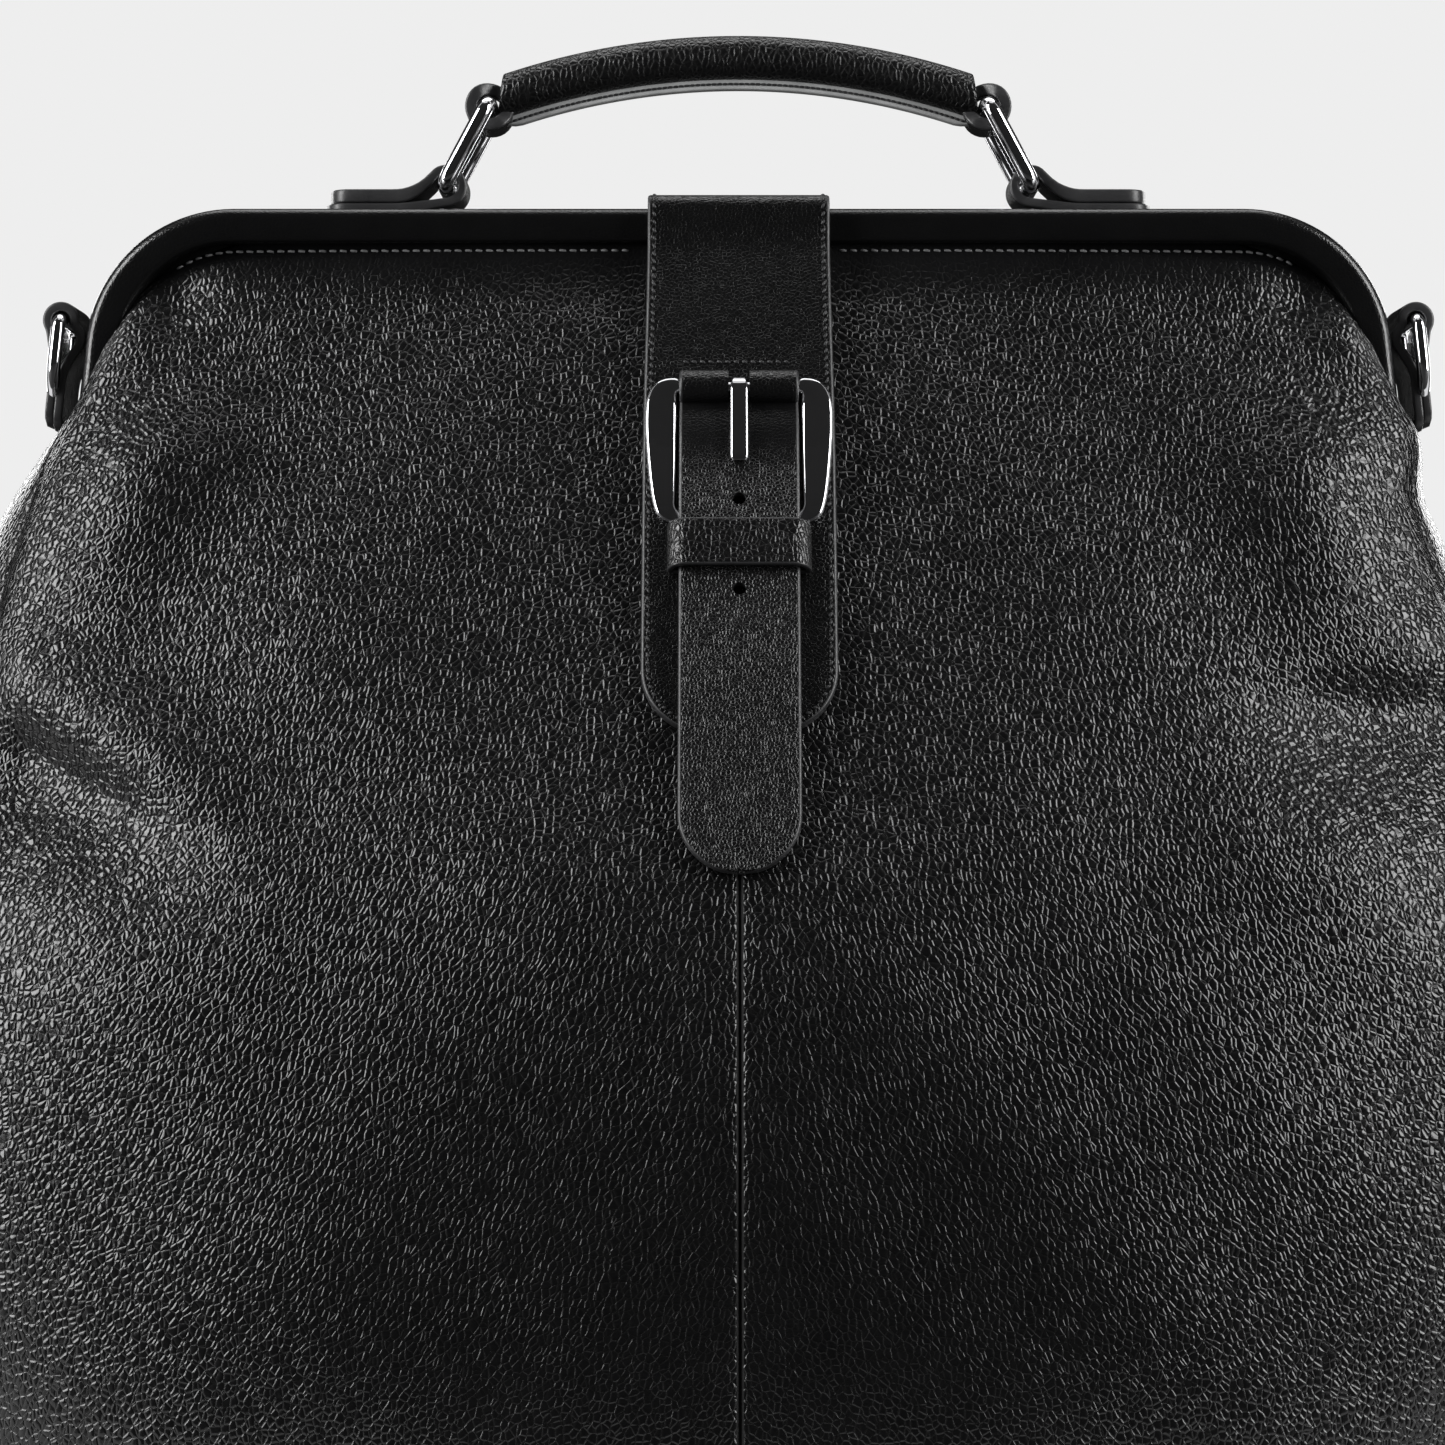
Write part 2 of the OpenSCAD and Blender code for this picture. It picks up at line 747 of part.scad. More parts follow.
module ring_tab() {
    color(leather) difference() {
        at_ring() union() {
            translate([pass, -ring_tab_w / 2, -24]) cube([ring_plate_t, ring_tab_w, ring_up + 24]);
            translate([ring_out, 0, ring_up]) rod_y(5.6, ring_tab_w);
        }
        at_ring() translate([ring_out, 0, ring_up]) rod_y(ring_wire_r + 0.1, ring_tab_w + 2);
        rivet_holes();
    }
}

module d_ring_tab_right() {
    ring_tab();
}

module d_ring_tab_left() {
    mirror([1, 0, 0]) ring_tab();
}

// Right-hand D ring, hanging from its leather loop
module ring() {
    bend = 3;
    color(steel) at_ring() translate([ring_out, 0, ring_up]) {
        rod_y(ring_wire_r, 2 * (ring_half - bend));
        for (s = [-1, 1]) translate([0, s * ring_half, -ring_side])
            cylinder(r = ring_wire_r, h = ring_side - bend);
        for (s = [0, 1]) mirror([0, s, 0]) translate([0, ring_half - bend, -bend]) rotate([90, 0, 90])
            rotate_extrude(angle = 90) translate([bend, 0]) circle(r = ring_wire_r);
        translate([0, 0, -ring_side]) rotate([90, 0, 90]) rotate([0, 0, 180])
            rotate_extrude(angle = 180) translate([ring_half, 0]) circle(r = ring_wire_r);
    }
}

module d_ring_right() {
    ring();
}

module d_ring_left() {
    mirror([1, 0, 0]) ring();
}

module d_ring_rivets() {
    color(steel) for (s = [0, 1]) mirror([s, 0, 0]) {
        ring_shank();
        at_ring() translate([ring_plate_t + pass, ring_rivet_y, -14])
            rotate([0, 90, 0]) cylinder(r1 = 3.5, r2 = 2.6, h = 1.6);
    }
}

rear_frame();
front_frame();
rear_frame_cover();
front_frame_cover();
hinge_pins();
front_panel_upper_left();
front_panel_upper_right();
front_panel_fold();
front_panel_lower_left();
front_panel_lower_right();
rear_panel_left();
rear_panel_right();
gusset_upper_left();
gusset_upper_right();
gusset_lower_left();
gusset_lower_right();
lining_front();
lining_rear();
lining_lower();
base_panel();
base_board();
feet();
closure_strap();
closure_strap_end();
strap_tail();
magnet_disc();
magnet_plate();
buckle_frame();
buckle_prong();
buckle_chape();
billet_strap();
billet_end();
strap_keeper();
handle_grip();
handle_core();
handle_loop_left();
handle_loop_right();
handle_link_left();
handle_link_right();
handle_tab_left();
handle_tab_right();
tab_rivets();
d_ring_left();
d_ring_right();
d_ring_tab_left();
d_ring_tab_right();
d_ring_rivets();
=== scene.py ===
# %% [markdown]
# # A doctor bag in black pebbled leather
# The bag is a hinged steel frame that leather is wrapped round and hung from.
# The steel, the wire links and the rings come ready-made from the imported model. All
# that is leather, thread or cloth is made here, one cell at a time, and so is the
# buckle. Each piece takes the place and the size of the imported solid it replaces.

# %% Load the frame
import math
import random

import bmesh
import bpy
import numpy as np
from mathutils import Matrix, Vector


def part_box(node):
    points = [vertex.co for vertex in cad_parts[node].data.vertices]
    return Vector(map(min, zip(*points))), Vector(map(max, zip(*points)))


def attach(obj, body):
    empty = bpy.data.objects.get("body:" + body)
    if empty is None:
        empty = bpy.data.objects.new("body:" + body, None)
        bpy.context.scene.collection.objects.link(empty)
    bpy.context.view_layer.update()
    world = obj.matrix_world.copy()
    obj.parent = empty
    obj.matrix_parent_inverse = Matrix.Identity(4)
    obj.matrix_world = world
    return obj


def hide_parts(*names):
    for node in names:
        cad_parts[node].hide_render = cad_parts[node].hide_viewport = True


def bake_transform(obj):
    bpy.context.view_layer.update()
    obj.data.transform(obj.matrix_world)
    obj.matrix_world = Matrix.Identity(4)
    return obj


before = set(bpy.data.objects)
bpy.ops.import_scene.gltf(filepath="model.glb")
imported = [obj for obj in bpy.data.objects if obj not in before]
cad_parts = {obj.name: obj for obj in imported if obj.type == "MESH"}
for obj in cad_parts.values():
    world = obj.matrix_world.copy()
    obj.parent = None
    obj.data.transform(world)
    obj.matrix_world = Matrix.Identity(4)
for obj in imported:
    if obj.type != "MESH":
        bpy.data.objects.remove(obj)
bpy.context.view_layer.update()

# %% [markdown]
# ## The camera
# The photograph looks straight at the front, level, from a little under a metre. A long
# lens at that distance gives the same flat perspective, and no shift is needed.

# %% Camera
scene = bpy.context.scene
scene.view_settings.view_transform = "Standard"
CAMERA_PLACE = (-0.0043, -0.917, 0.2125)
lens = bpy.data.cameras.new("photo_camera")
lens.lens = 84.1
lens.sensor_width = 36
camera = bpy.data.objects.new("photo_camera", lens)
camera.location = CAMERA_PLACE
camera.rotation_euler = (math.pi / 2, 0, 0)
scene.collection.objects.link(camera)
scene.camera = camera
print("camera at", CAMERA_PLACE)

# %% [markdown]
# ## Shader helpers
# A finish is a small graph of nodes. These helpers add a node with its settings, join
# it to others and start a node group, so that each finish below stays short.

# %% Node helpers
def add_node(tree, kind, links=None, **settings):
    """Adds a shader node, sets its inputs by name or number and joins what is linked."""
    n = tree.nodes.new("ShaderNode" + kind)
    for key, value in settings.items():
        setattr(n, key, value)
    for key, value in (links or {}).items():
        socket = n.inputs[key]
        if isinstance(value, bpy.types.NodeSocket):
            tree.links.new(value, socket)
        else:
            socket.default_value = value
    return n


def maths(tree, operation, *values, kind="Math"):
    """A Math or VectorMath node on values or sockets, in order. Returns its output."""
    return add_node(tree, kind, dict(enumerate(values)), operation=operation).outputs[0]


def between(tree, share, dark, light):
    """A colour between two, by a share from 0 to 1. Returns a socket."""
    mix = add_node(tree, "Mix", {"Factor": share, "A": (*dark, 1), "B": (*light, 1)}, data_type="RGBA")
    return mix.outputs["Result"]


def add_bump(tree, shader, height, distance, strength=1.0):
    """Bumps a shader's surface by a height, distance in metres."""
    bump = add_node(tree, "Bump", {"Height": height, "Strength": strength, "Distance": distance})
    tree.links.new(bump.outputs[0], shader.inputs["Normal"])


def new_group(name, inputs, outputs):
    """Starts a shader node group. Inputs are {name: start value}, outputs are names."""
    tree = bpy.data.node_groups.new(name, "ShaderNodeTree")
    for key, value in inputs.items():
        s = tree.interface.new_socket(key, in_out="INPUT", socket_type="NodeSocketFloat")
        s.default_value = value
    for key in outputs:
        tree.interface.new_socket(key, in_out="OUTPUT", socket_type="NodeSocketFloat")
    return tree, tree.nodes.new("NodeGroupInput"), tree.nodes.new("NodeGroupOutput")


def place_group(tree, group, **values):
    """Places a node group in a material, with its own values."""
    n = tree.nodes.new("ShaderNodeGroup")
    n.node_tree = group
    for key, value in values.items():
        n.inputs[key.replace("_", " ")].default_value = value
    return n


def new_material(name):
    """A material with only a shader and an output. Returns it, its tree and its shader."""
    m = bpy.data.materials.new(name)
    m.use_nodes = True
    tree = m.node_tree
    return m, tree, tree.nodes["Principled BSDF"]


# %% [markdown]
# ## Leather grain
# Milled leather breaks into pebbles about 2 mm wide with narrow creases between them.
# A Voronoi texture measures the distance to the edge of each cell, and a curve turns
# that distance into a plump pebble. Milling draws the pebbles out, so the pattern is
# stretched and leans away from the middle. Fine noise adds the pores. The group puts
# out a height and a crease mask, so that pebbled and smooth leather can share it with
# other sizes, and it can calm the grain above a height, where the leather is pressed.

# %% Grain group
GRAIN = {"Cells": 540.0, "Crease": 0.3, "Pores": 0.2, "Warp": 0.0006, "Stretch": 1.0, "Lean": 0.0,
         "Smooth Above": 9.0}
CALM_BAND = 0.014
CALM_SHARE = 0.3
grain_group, g_in, g_out = new_group("leather grain", GRAIN, ["Height", "Crease"])
wanted = g_in.outputs
place = add_node(grain_group, "TexCoord").outputs["Object"]
drift = add_node(grain_group, "TexNoise", {"Vector": place, "Scale": 240.0, "Detail": 2.0})
centred = maths(grain_group, "SUBTRACT", drift.outputs["Color"], (0.5, 0.5, 0.5), kind="VectorMath")
pushed = add_node(grain_group, "VectorMath", {0: centred, "Scale": wanted["Warp"]}, operation="SCALE")
moved = maths(grain_group, "ADD", place, pushed.outputs[0], kind="VectorMath")
parts = add_node(grain_group, "SeparateXYZ", {0: moved}).outputs
slant = maths(grain_group, "MULTIPLY", maths(grain_group, "ABSOLUTE", parts["X"]), wanted["Lean"])
drawn = maths(grain_group, "MULTIPLY_ADD", parts["Z"], wanted["Stretch"], slant)
flow = add_node(grain_group, "CombineXYZ", {"X": parts["X"], "Y": parts["Y"], "Z": drawn}).outputs[0]
cells = add_node(grain_group, "TexVoronoi", {"Vector": flow, "Scale": wanted["Cells"]},
                 feature="DISTANCE_TO_EDGE")
near = add_node(grain_group, "MapRange", {
    "Value": cells.outputs["Distance"], "From Max": wanted["Crease"], "To Min": 1.0, "To Max": 0.0})
hollow = maths(grain_group, "POWER", near.outputs[0], 2.0)
plump = maths(grain_group, "SUBTRACT", 1.0, hollow)
fine_size = maths(grain_group, "MULTIPLY", wanted["Cells"], 3.1)
pores = add_node(grain_group, "TexNoise", {"Vector": moved, "Scale": fine_size, "Detail": 1.0})
fine = maths(grain_group, "MULTIPLY", pores.outputs["Fac"], wanted["Pores"])
height = maths(grain_group, "ADD", plump, fine)
band = maths(grain_group, "SUBTRACT", wanted["Smooth Above"], CALM_BAND)
calm = add_node(grain_group, "MapRange", {
    "Value": parts["Z"], "From Min": band, "From Max": wanted["Smooth Above"],
    "To Min": 1.0, "To Max": CALM_SHARE}).outputs[0]
grain_group.links.new(maths(grain_group, "MULTIPLY", height, calm), g_out.inputs["Height"])
grain_group.links.new(maths(grain_group, "MULTIPLY", hollow, calm), g_out.inputs["Crease"])
print("leather grain:", len(grain_group.nodes), "nodes")

# %% [markdown]
# ## Mottle
# No finish is quite even: dye pools, hands polish. This group is a soft noise from 0 to
# 1 that the materials below use to vary colour and roughness.

# %% Mottle group
mottle_group, m_in, m_out = new_group("mottle", {"Size": 40.0, "Low": 0.0, "High": 1.0}, ["Value"])
m_place = add_node(mottle_group, "TexCoord")
m_noise = add_node(mottle_group, "TexNoise", {
    "Vector": m_place.outputs["Object"], "Scale": m_in.outputs["Size"], "Detail": 5.0, "Roughness": 0.6})
m_range = add_node(mottle_group, "MapRange", {
    "Value": m_noise.outputs["Fac"], "From Min": 0.3, "From Max": 0.7,
    "To Min": m_in.outputs["Low"], "To Max": m_in.outputs["High"]})
mottle_group.links.new(m_range.outputs[0], m_out.inputs["Value"])
print("mottle:", len(mottle_group.nodes), "nodes")


# %% [markdown]
# ## The leathers
# Black leather is nearly black paint over grain: a very dark base and a satin top coat.
# The creases are rougher than the pebbles, and painted a little darker for the shade
# that falls in them. The body is coarsely pebbled, the grip, the narrow strap and the
# keeper are finer, and the wide strap and the frame's cover are smooth, with pores only.

# %% Leathers
INK = ((0.0022, 0.0022, 0.0024), (0.0045, 0.0045, 0.0048))
# Painted shade: the colour the creases are darkened towards, for the shade that falls in them.
CREASE_SHADE = (0.003, 0.003, 0.003, 1)


def leather(name, gloss, relief, **grain):
    """Black leather. Gloss is (roughness on the pebbles, in the creases), relief in metres."""
    m, tree, shader = new_material(name)
    g = place_group(tree, grain_group, **grain).outputs
    dye = place_group(tree, mottle_group, Size=55.0, Low=0.0, High=1.0)
    shade = between(tree, dye.outputs[0], *INK)
    # Painted shade: the crease mask mixes each crease towards a darker colour.
    shaded_creases = add_node(tree, "MixRGB", {"Fac": g["Crease"], 1: shade, 2: CREASE_SHADE})
    rough = add_node(tree, "MapRange", {"Value": g["Crease"], "To Min": gloss[0], "To Max": gloss[1]})
    tree.links.new(shaded_creases.outputs[0], shader.inputs["Base Color"])
    tree.links.new(rough.outputs[0], shader.inputs["Roughness"])
    add_bump(tree, shader, g["Height"], relief)
    shader.inputs["Specular IOR Level"].default_value = 0.5
    return m


PORES_ONLY = {"Cells": 1000.0, "Crease": 0.4, "Pores": 0.4, "Warp": 0.0008}
pebbled = leather("pebbled_leather", (0.20, 0.28), 0.00018, Cells=600.0, Crease=0.40, Pores=0.08,
                  Warp=0.0010, Stretch=0.85, Lean=0.2, Smooth_Above=0.337)
smooth = leather("smooth_leather", (0.19, 0.27), 0.00008, **PORES_ONLY)
frame_leather = leather("frame_leather", (0.17, 0.22), 0.00003, **PORES_ONLY)
billet_leather = leather("billet_leather", (0.22, 0.32), 0.00011, Cells=1150.0, Crease=0.40, Pores=0.2,
                         Warp=0.0008, Smooth_Above=0.289)
keeper_leather = leather("keeper_leather", (0.20, 0.30), 0.00013, Cells=800.0, Crease=0.40, Pores=0.3,
                         Warp=0.0010, Stretch=0.7)
grip_leather = leather("grip_leather", (0.24, 0.36), 0.00015, Cells=700.0, Crease=0.40, Pores=0.15,
                       Warp=0.0012, Stretch=0.6)
LEATHERS = (pebbled, smooth, frame_leather, billet_leather, keeper_leather, grip_leather)
print("leathers:", [m.name for m in LEATHERS])

# %% [markdown]
# ## Edge paint, thread, cloth, board and metal
# Cut edges are sealed with a thick paint, except deep in a seam, where the edge stays
# raw and dull. Thread is a soft dark grey with a twist. Chrome shows faint polishing
# marks in its roughness. The rest is plain and hidden until the bag opens.

# %% Other finishes
def plain_finish(name, dark, light, rough, relief=0.0, size=900.0, metal=0.0):
    """A finish whose colour and roughness wander a little, with a fine bump."""
    m, tree, shader = new_material(name)
    tone = place_group(tree, mottle_group, Size=size / 12, Low=0.0, High=1.0)
    gloss = place_group(tree, mottle_group, Size=size, Low=rough[0], High=rough[1])
    tree.links.new(between(tree, tone.outputs[0], dark, light), shader.inputs["Base Color"])
    tree.links.new(gloss.outputs[0], shader.inputs["Roughness"])
    shader.inputs["Metallic"].default_value = metal
    if relief:
        add_bump(tree, shader, gloss.outputs[0], relief)
    return m


edge_paint = plain_finish("edge_paint", (0.016, 0.016, 0.017), (0.03, 0.03, 0.031), (0.3, 0.45),
                          0.0001, 1400)
raw_edge = plain_finish("raw_edge", (0.002, 0.002, 0.002), (0.004, 0.004, 0.004), (0.85, 0.95))
thread = plain_finish("thread", (0.07, 0.07, 0.072), (0.13, 0.13, 0.132), (0.5, 0.7), 0.0002, 3200)
black_thread = plain_finish("black_thread", (0.012, 0.012, 0.013), (0.03, 0.03, 0.031), (0.35, 0.5),
                            0.0002, 3200)
# Painted reflection: the welt under the grip is coloured light grey for the pale floor that shows in it.
painted_welt_reflection = plain_finish("welt_painted_reflection", (0.28, 0.285, 0.285), (0.40, 0.405, 0.405), (0.45, 0.6),
                         0.0001, 1800)
chrome = plain_finish("polished_chrome", (0.72, 0.72, 0.74), (0.80, 0.80, 0.82), (0.05, 0.09),
                      0.0, 500, 1.0)
strip_steel = plain_finish("strip_steel", (0.36, 0.36, 0.37), (0.48, 0.48, 0.49), (0.32, 0.45),
                           0.0001, 700, 1.0)
fibre_board = plain_finish("fibre_board", (0.16, 0.125, 0.09), (0.25, 0.20, 0.15), (0.7, 0.85),
                           0.0004, 500)


def woven_cloth(name, warp_colour, weft_colour, pitch):
    """Plain weave: two sets of threads that pass over each other, pitch in metres."""
    m, tree, shader = new_material(name)
    at = add_node(tree, "TexCoord").outputs["Object"]
    waves = [add_node(tree, "TexWave", {"Vector": at, "Scale": 0.314 / pitch, "Distortion": 0.6},
                      bands_direction=way).outputs["Fac"] for way in ("X", "Z")]
    over = maths(tree, "MULTIPLY", *waves)
    tree.links.new(between(tree, over, warp_colour, weft_colour), shader.inputs["Base Color"])
    add_bump(tree, shader, over, 0.0002, 0.6)
    shader.inputs["Roughness"].default_value = 0.8
    return m


lining_cloth = woven_cloth("lining_cloth", (0.055, 0.052, 0.05), (0.10, 0.095, 0.09), 0.0007)
OTHER_FINISHES = (edge_paint, raw_edge, thread, black_thread, painted_welt_reflection, chrome, strip_steel,
                  fibre_board, lining_cloth)
print("finishes:", [m.name for m in OTHER_FINISHES])

# %% [markdown]
# ## Light
# The photograph was lit by two tall soft boxes at the sides, with a dark studio behind
# the camera: chrome shows black with white edges, and the leather shines only where it
# turns to a side. Two dark domed cards, front and rear, stand in for that dark studio,
# and only reflections see them. The world is one pale sweep: Light Path shows it at full
# strength to the eye and to reflections, and lights the object with much less, so that
# a dark colour looks about as it is written. The floor does the same, and keeps the
# bag's shadow. Two weaker boxes behind the bag light its rear.

# %% Studio
PALE = (0.855, 0.855, 0.855, 1)
ON_OBJECT = 0.35


def seen_by_eye_or_mirror(tree):
    """A socket that is 1 for camera, glossy and transmission rays, and 0 for the rest."""
    path = add_node(tree, "LightPath").outputs
    seen = maths(tree, "MAXIMUM", path["Is Camera Ray"], path["Is Glossy Ray"])
    return maths(tree, "MAXIMUM", seen, path["Is Transmission Ray"])


world = bpy.data.worlds.new("pale_studio")
world.use_nodes = True
scene.world = world
w_tree = world.node_tree
w_tree.nodes.clear()
level = add_node(w_tree, "MapRange", {
    "Value": seen_by_eye_or_mirror(w_tree), "To Min": ON_OBJECT, "To Max": 1.0})
sweep = add_node(w_tree, "Background", {"Color": PALE, "Strength": level.outputs[0]})
add_node(w_tree, "OutputWorld", {"Surface": sweep.outputs[0]})


def soft_box(name, place, aim, size, watts):
    """A rectangular lamp at a place, facing a point. Size is (width, height) in metres."""
    lamp = bpy.data.lights.new(name, "AREA")
    lamp.shape = "RECTANGLE"
    lamp.size, lamp.size_y = size
    lamp.energy = watts
    o = bpy.data.objects.new(name, lamp)
    o.location = place
    o.rotation_euler = (Vector(aim) - Vector(place)).to_track_quat("-Z", "Y").to_euler()
    scene.collection.objects.link(o)
    return o


BOX = (0.42, 1.3)
AIM = (0, 0, 0.22)
soft_box("left_box", (-1.12, -0.50, 0.66), AIM, BOX, 22)
soft_box("right_box", (1.12, -0.50, 0.66), AIM, BOX, 19)
soft_box("rear_left_box", (-0.85, 1.10, 0.66), AIM, BOX, 9)
soft_box("rear_right_box", (0.85, 1.10, 0.66), AIM, BOX, 9)
soft_box("top_box", (0, 0.3, 1.3), (0, 0, 0.3), (1.0, 0.5), 4)


def card(name, rows, colour, glow=0.0):
    """A sheet of the studio through rows of points, all of one length."""
    mesh = bpy.data.meshes.new(name)
    n = len(rows[0])
    faces = [(r * n + k, r * n + k + 1, (r + 1) * n + k + 1, (r + 1) * n + k)
             for r in range(len(rows) - 1) for k in range(n - 1)]
    mesh.from_pydata([p for row in rows for p in row], [], faces)
    o = bpy.data.objects.new(name, mesh)
    m, tree, shader = new_material(name)
    shader.inputs["Base Color"].default_value = (*colour, 1)
    shader.inputs["Roughness"].default_value = 0.9
    if glow:
        shader.inputs["Emission Color"].default_value = (1, 1, 1, 1)
        lit = add_node(tree, "MapRange", {
            "Value": seen_by_eye_or_mirror(tree), "To Min": 0.0, "To Max": glow})
        tree.links.new(lit.outputs[0], shader.inputs["Emission Strength"])
    mesh.materials.append(m)
    scene.collection.objects.link(o)
    return o


FLOOR = 4.0
FLOOR_TONE = (0.06, 0.06, 0.06)
FLOOR_GLOW = 0.74
card("floor", [[(x, y, 0) for x in (-FLOOR, FLOOR)] for y in (-FLOOR, FLOOR)], FLOOR_TONE, FLOOR_GLOW)
CARD_R = 1.6
CARD_TURN = math.radians(84)
CARD_RISE = math.radians(75)
CARD_NEAR = 0.13
CARD_TONE = (0.006, 0.006, 0.006)


def dome_point(side, turn, rise):
    """A point of a dome on the front or the rear, by its turn and its rise."""
    flat = CARD_R * math.cos(rise)
    return flat * math.sin(turn), side * flat * math.cos(turn), CARD_R * math.sin(rise)


for side, label in ((-1, "front"), (1, "rear")):
    turns = np.linspace(-CARD_TURN, CARD_TURN, 25)
    dome = [[dome_point(side, turn, rise) for turn in turns] for rise in np.linspace(0.003, CARD_RISE, 7)]
    on_floor = [(x, side * CARD_NEAR, 0.004) for x, y, z in dome[0]]
    dark = card(label + "_card", [on_floor] + dome, CARD_TONE)
    dark.visible_camera = False
    dark.visible_diffuse = False
    dark.visible_shadow = False
print("studio: 5 lamps, floor, 2 domed cards")

# %% [markdown]
# ## Slabs
# Nearly every leather piece is a slab: an outer face, an inner face and a rim. One
# function makes any of them from two grids of points. Sizes from here on are in
# millimetres, and become metres when the mesh is made.

# %% Slab and ribbon helpers
MM = 0.001
SHARP = math.radians(50)


def finish_mesh(name, points, faces, materials, face_slots=None):
    """Makes an object from points in millimetres, smooth except at sharp edges."""
    mesh = bpy.data.meshes.new(name)
    mesh.from_pydata([tuple(p) for p in np.asarray(points, float) * MM], [], faces)
    for m in materials:
        mesh.materials.append(m)
    if face_slots is not None:
        mesh.polygons.foreach_set("material_index", face_slots)
    bm = bmesh.new()
    bm.from_mesh(mesh)
    bmesh.ops.remove_doubles(bm, verts=bm.verts, dist=1e-7)
    bmesh.ops.recalc_face_normals(bm, faces=bm.faces)
    bm.to_mesh(mesh)
    bm.free()
    mesh.polygons.foreach_set("use_smooth", [True] * len(mesh.polygons))
    mesh.set_sharp_from_angle(angle=SHARP)
    o = bpy.data.objects.new(name, mesh)
    scene.collection.objects.link(o)
    return o


def slab(name, outer, inner, materials, edge_columns=0, closed=False):
    """A closed sheet between two grids of points. Edge columns take the second material."""
    outer, inner = np.asarray(outer, float), np.asarray(inner, float)
    n, m = outer.shape[:2]
    k = n * m
    faces, slots = [], []
    steps = n if closed else n - 1
    for i in range(steps):
        a, b = i * m, (i + 1) % n * m
        for j in range(m - 1):
            edge = int(j < edge_columns or j >= m - 1 - edge_columns)
            faces.append((a + j, a + j + 1, b + j + 1, b + j))
            faces.append((k + b + j, k + b + j + 1, k + a + j + 1, k + a + j))
            slots += [edge, edge]
        e = m - 1
        faces += [(b, k + b, k + a, a), (a + e, k + a + e, k + b + e, b + e)]
        slots += [int(edge_columns > 0)] * 2
    if not closed:
        last = (n - 1) * m
        for j in range(m - 1):
            faces.append((j + 1, j, k + j, k + j + 1))
            faces.append((last + j, last + j + 1, k + last + j + 1, k + last + j))
            slots += [int(edge_columns > 0)] * 2
    points = np.concatenate([outer.reshape(-1, 3), inner.reshape(-1, 3)])
    return finish_mesh(name, points, faces, materials, slots)


def across(half_width, edge_r, columns):
    """Positions across a strap and the share of its thickness there, with rounded edges."""
    turn = np.radians([0, 30, 60, 90])
    rim = half_width - edge_r + edge_r * np.cos(turn)
    flat = np.linspace(half_width - edge_r, 0, columns)[1:]
    right = np.concatenate([rim, flat])
    drop = np.concatenate([edge_r * (1 - np.sin(turn)), np.zeros(len(flat))])
    x = np.concatenate([-right, right[::-1][1:]])
    return x, np.concatenate([drop, drop[::-1][1:]])


def ribbon(name, centre, normal, wide, half_widths, thickness, materials, edge_r=0.8, columns=8,
           closed=False, thin=None):
    """A strap along centre points. Normal faces its outer side and wide runs across it."""
    outer, inner = [], []
    for i, (p, n) in enumerate(zip(centre, normal)):
        w = wide[i] if np.ndim(wide) == 2 else wide
        x, drop = across(half_widths[i], min(edge_r, half_widths[i] * 0.5), columns)
        half = thickness / 2 * (1 if thin is None else thin[i])
        rise = np.maximum(half - drop, 0.15 * half)[:, None] * np.asarray(n)
        row = np.asarray(p) + x[:, None] * np.asarray(w)
        outer.append(row + rise)
        inner.append(row - rise)
    return slab(name, outer, inner, materials, edge_columns=3, closed=closed)


print("helpers: slab, ribbon")

# %% [markdown]
# ## The shape of the body
# The leather hangs from the frame and swells towards the floor. Six curves say how:
# each gives a size, in millimetres, for a drop below the frame's top. They start from
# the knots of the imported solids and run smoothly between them. Soft leather isn't the
# same on both sides: the photograph shows the right side sunk in under the frame's
# corner, and both sides drawn in beside the hinge.

# %% Body curves
TOP = float(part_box("front_frame_cover")[1][2]) / MM
HALF_W = 215.0
HALF_B = 96.0
HALF_D = 16.5
CORNER_R = 40.0
RUN = 135.0
SPLAY = math.radians(6)
LIP = 9.4
BASE_DROP = TOP - 8.4
TUCK = 10.3
PASS = 50.0
PANEL_T = 2.4
SHELL_T = PANEL_T - 0.2
HINGE_DROP = 125.0
PINCH_LEFT, PINCH_RIGHT, PINCH_SPREAD = 24, 12, 15
SLUMP_IN, SLUMP_OUT = (57, 81), (96, 150)


def smooth_curve(knots):
    """A curve through (drop, size) knots that doesn't overshoot them."""
    x, y = np.array(knots, float).T
    h = np.diff(x)
    s = np.diff(y) / h
    m = np.concatenate([[s[0]], np.zeros(len(x) - 2), [s[-1]]])
    for i in range(1, len(x) - 1):
        if s[i - 1] * s[i] > 0:
            a, b = 2 * h[i] + h[i - 1], h[i] + 2 * h[i - 1]
            m[i] = (a + b) / (a / s[i - 1] + b / s[i])

    def at(t):
        t = np.clip(t, x[0], x[-1])
        i = np.clip(np.searchsorted(x, t) - 1, 0, len(x) - 2)
        u = (t - x[i]) / h[i]
        return ((1 + 2 * u) * (1 - u) ** 2 * y[i] + u * (1 - u) ** 2 * h[i] * m[i]
                + u * u * (3 - 2 * u) * y[i + 1] + u * u * (u - 1) * h[i] * m[i + 1])
    return at


def leg_x(z, inset):
    """Half width of the frame's outline on its legs."""
    r = CORNER_R - inset
    return RUN + r * math.cos(SPLAY) + (TOP - CORNER_R + r * math.sin(SPLAY) - z) * math.tan(SPLAY)


def throat_x(t):
    """Half width just inside the frame's lip."""
    r, rise = CORNER_R - TUCK, CORNER_R - t
    if rise > r * math.sin(SPLAY):
        return RUN + math.sqrt(max(0.0, r * r - rise * rise))
    return leg_x(TOP - t, TUCK)


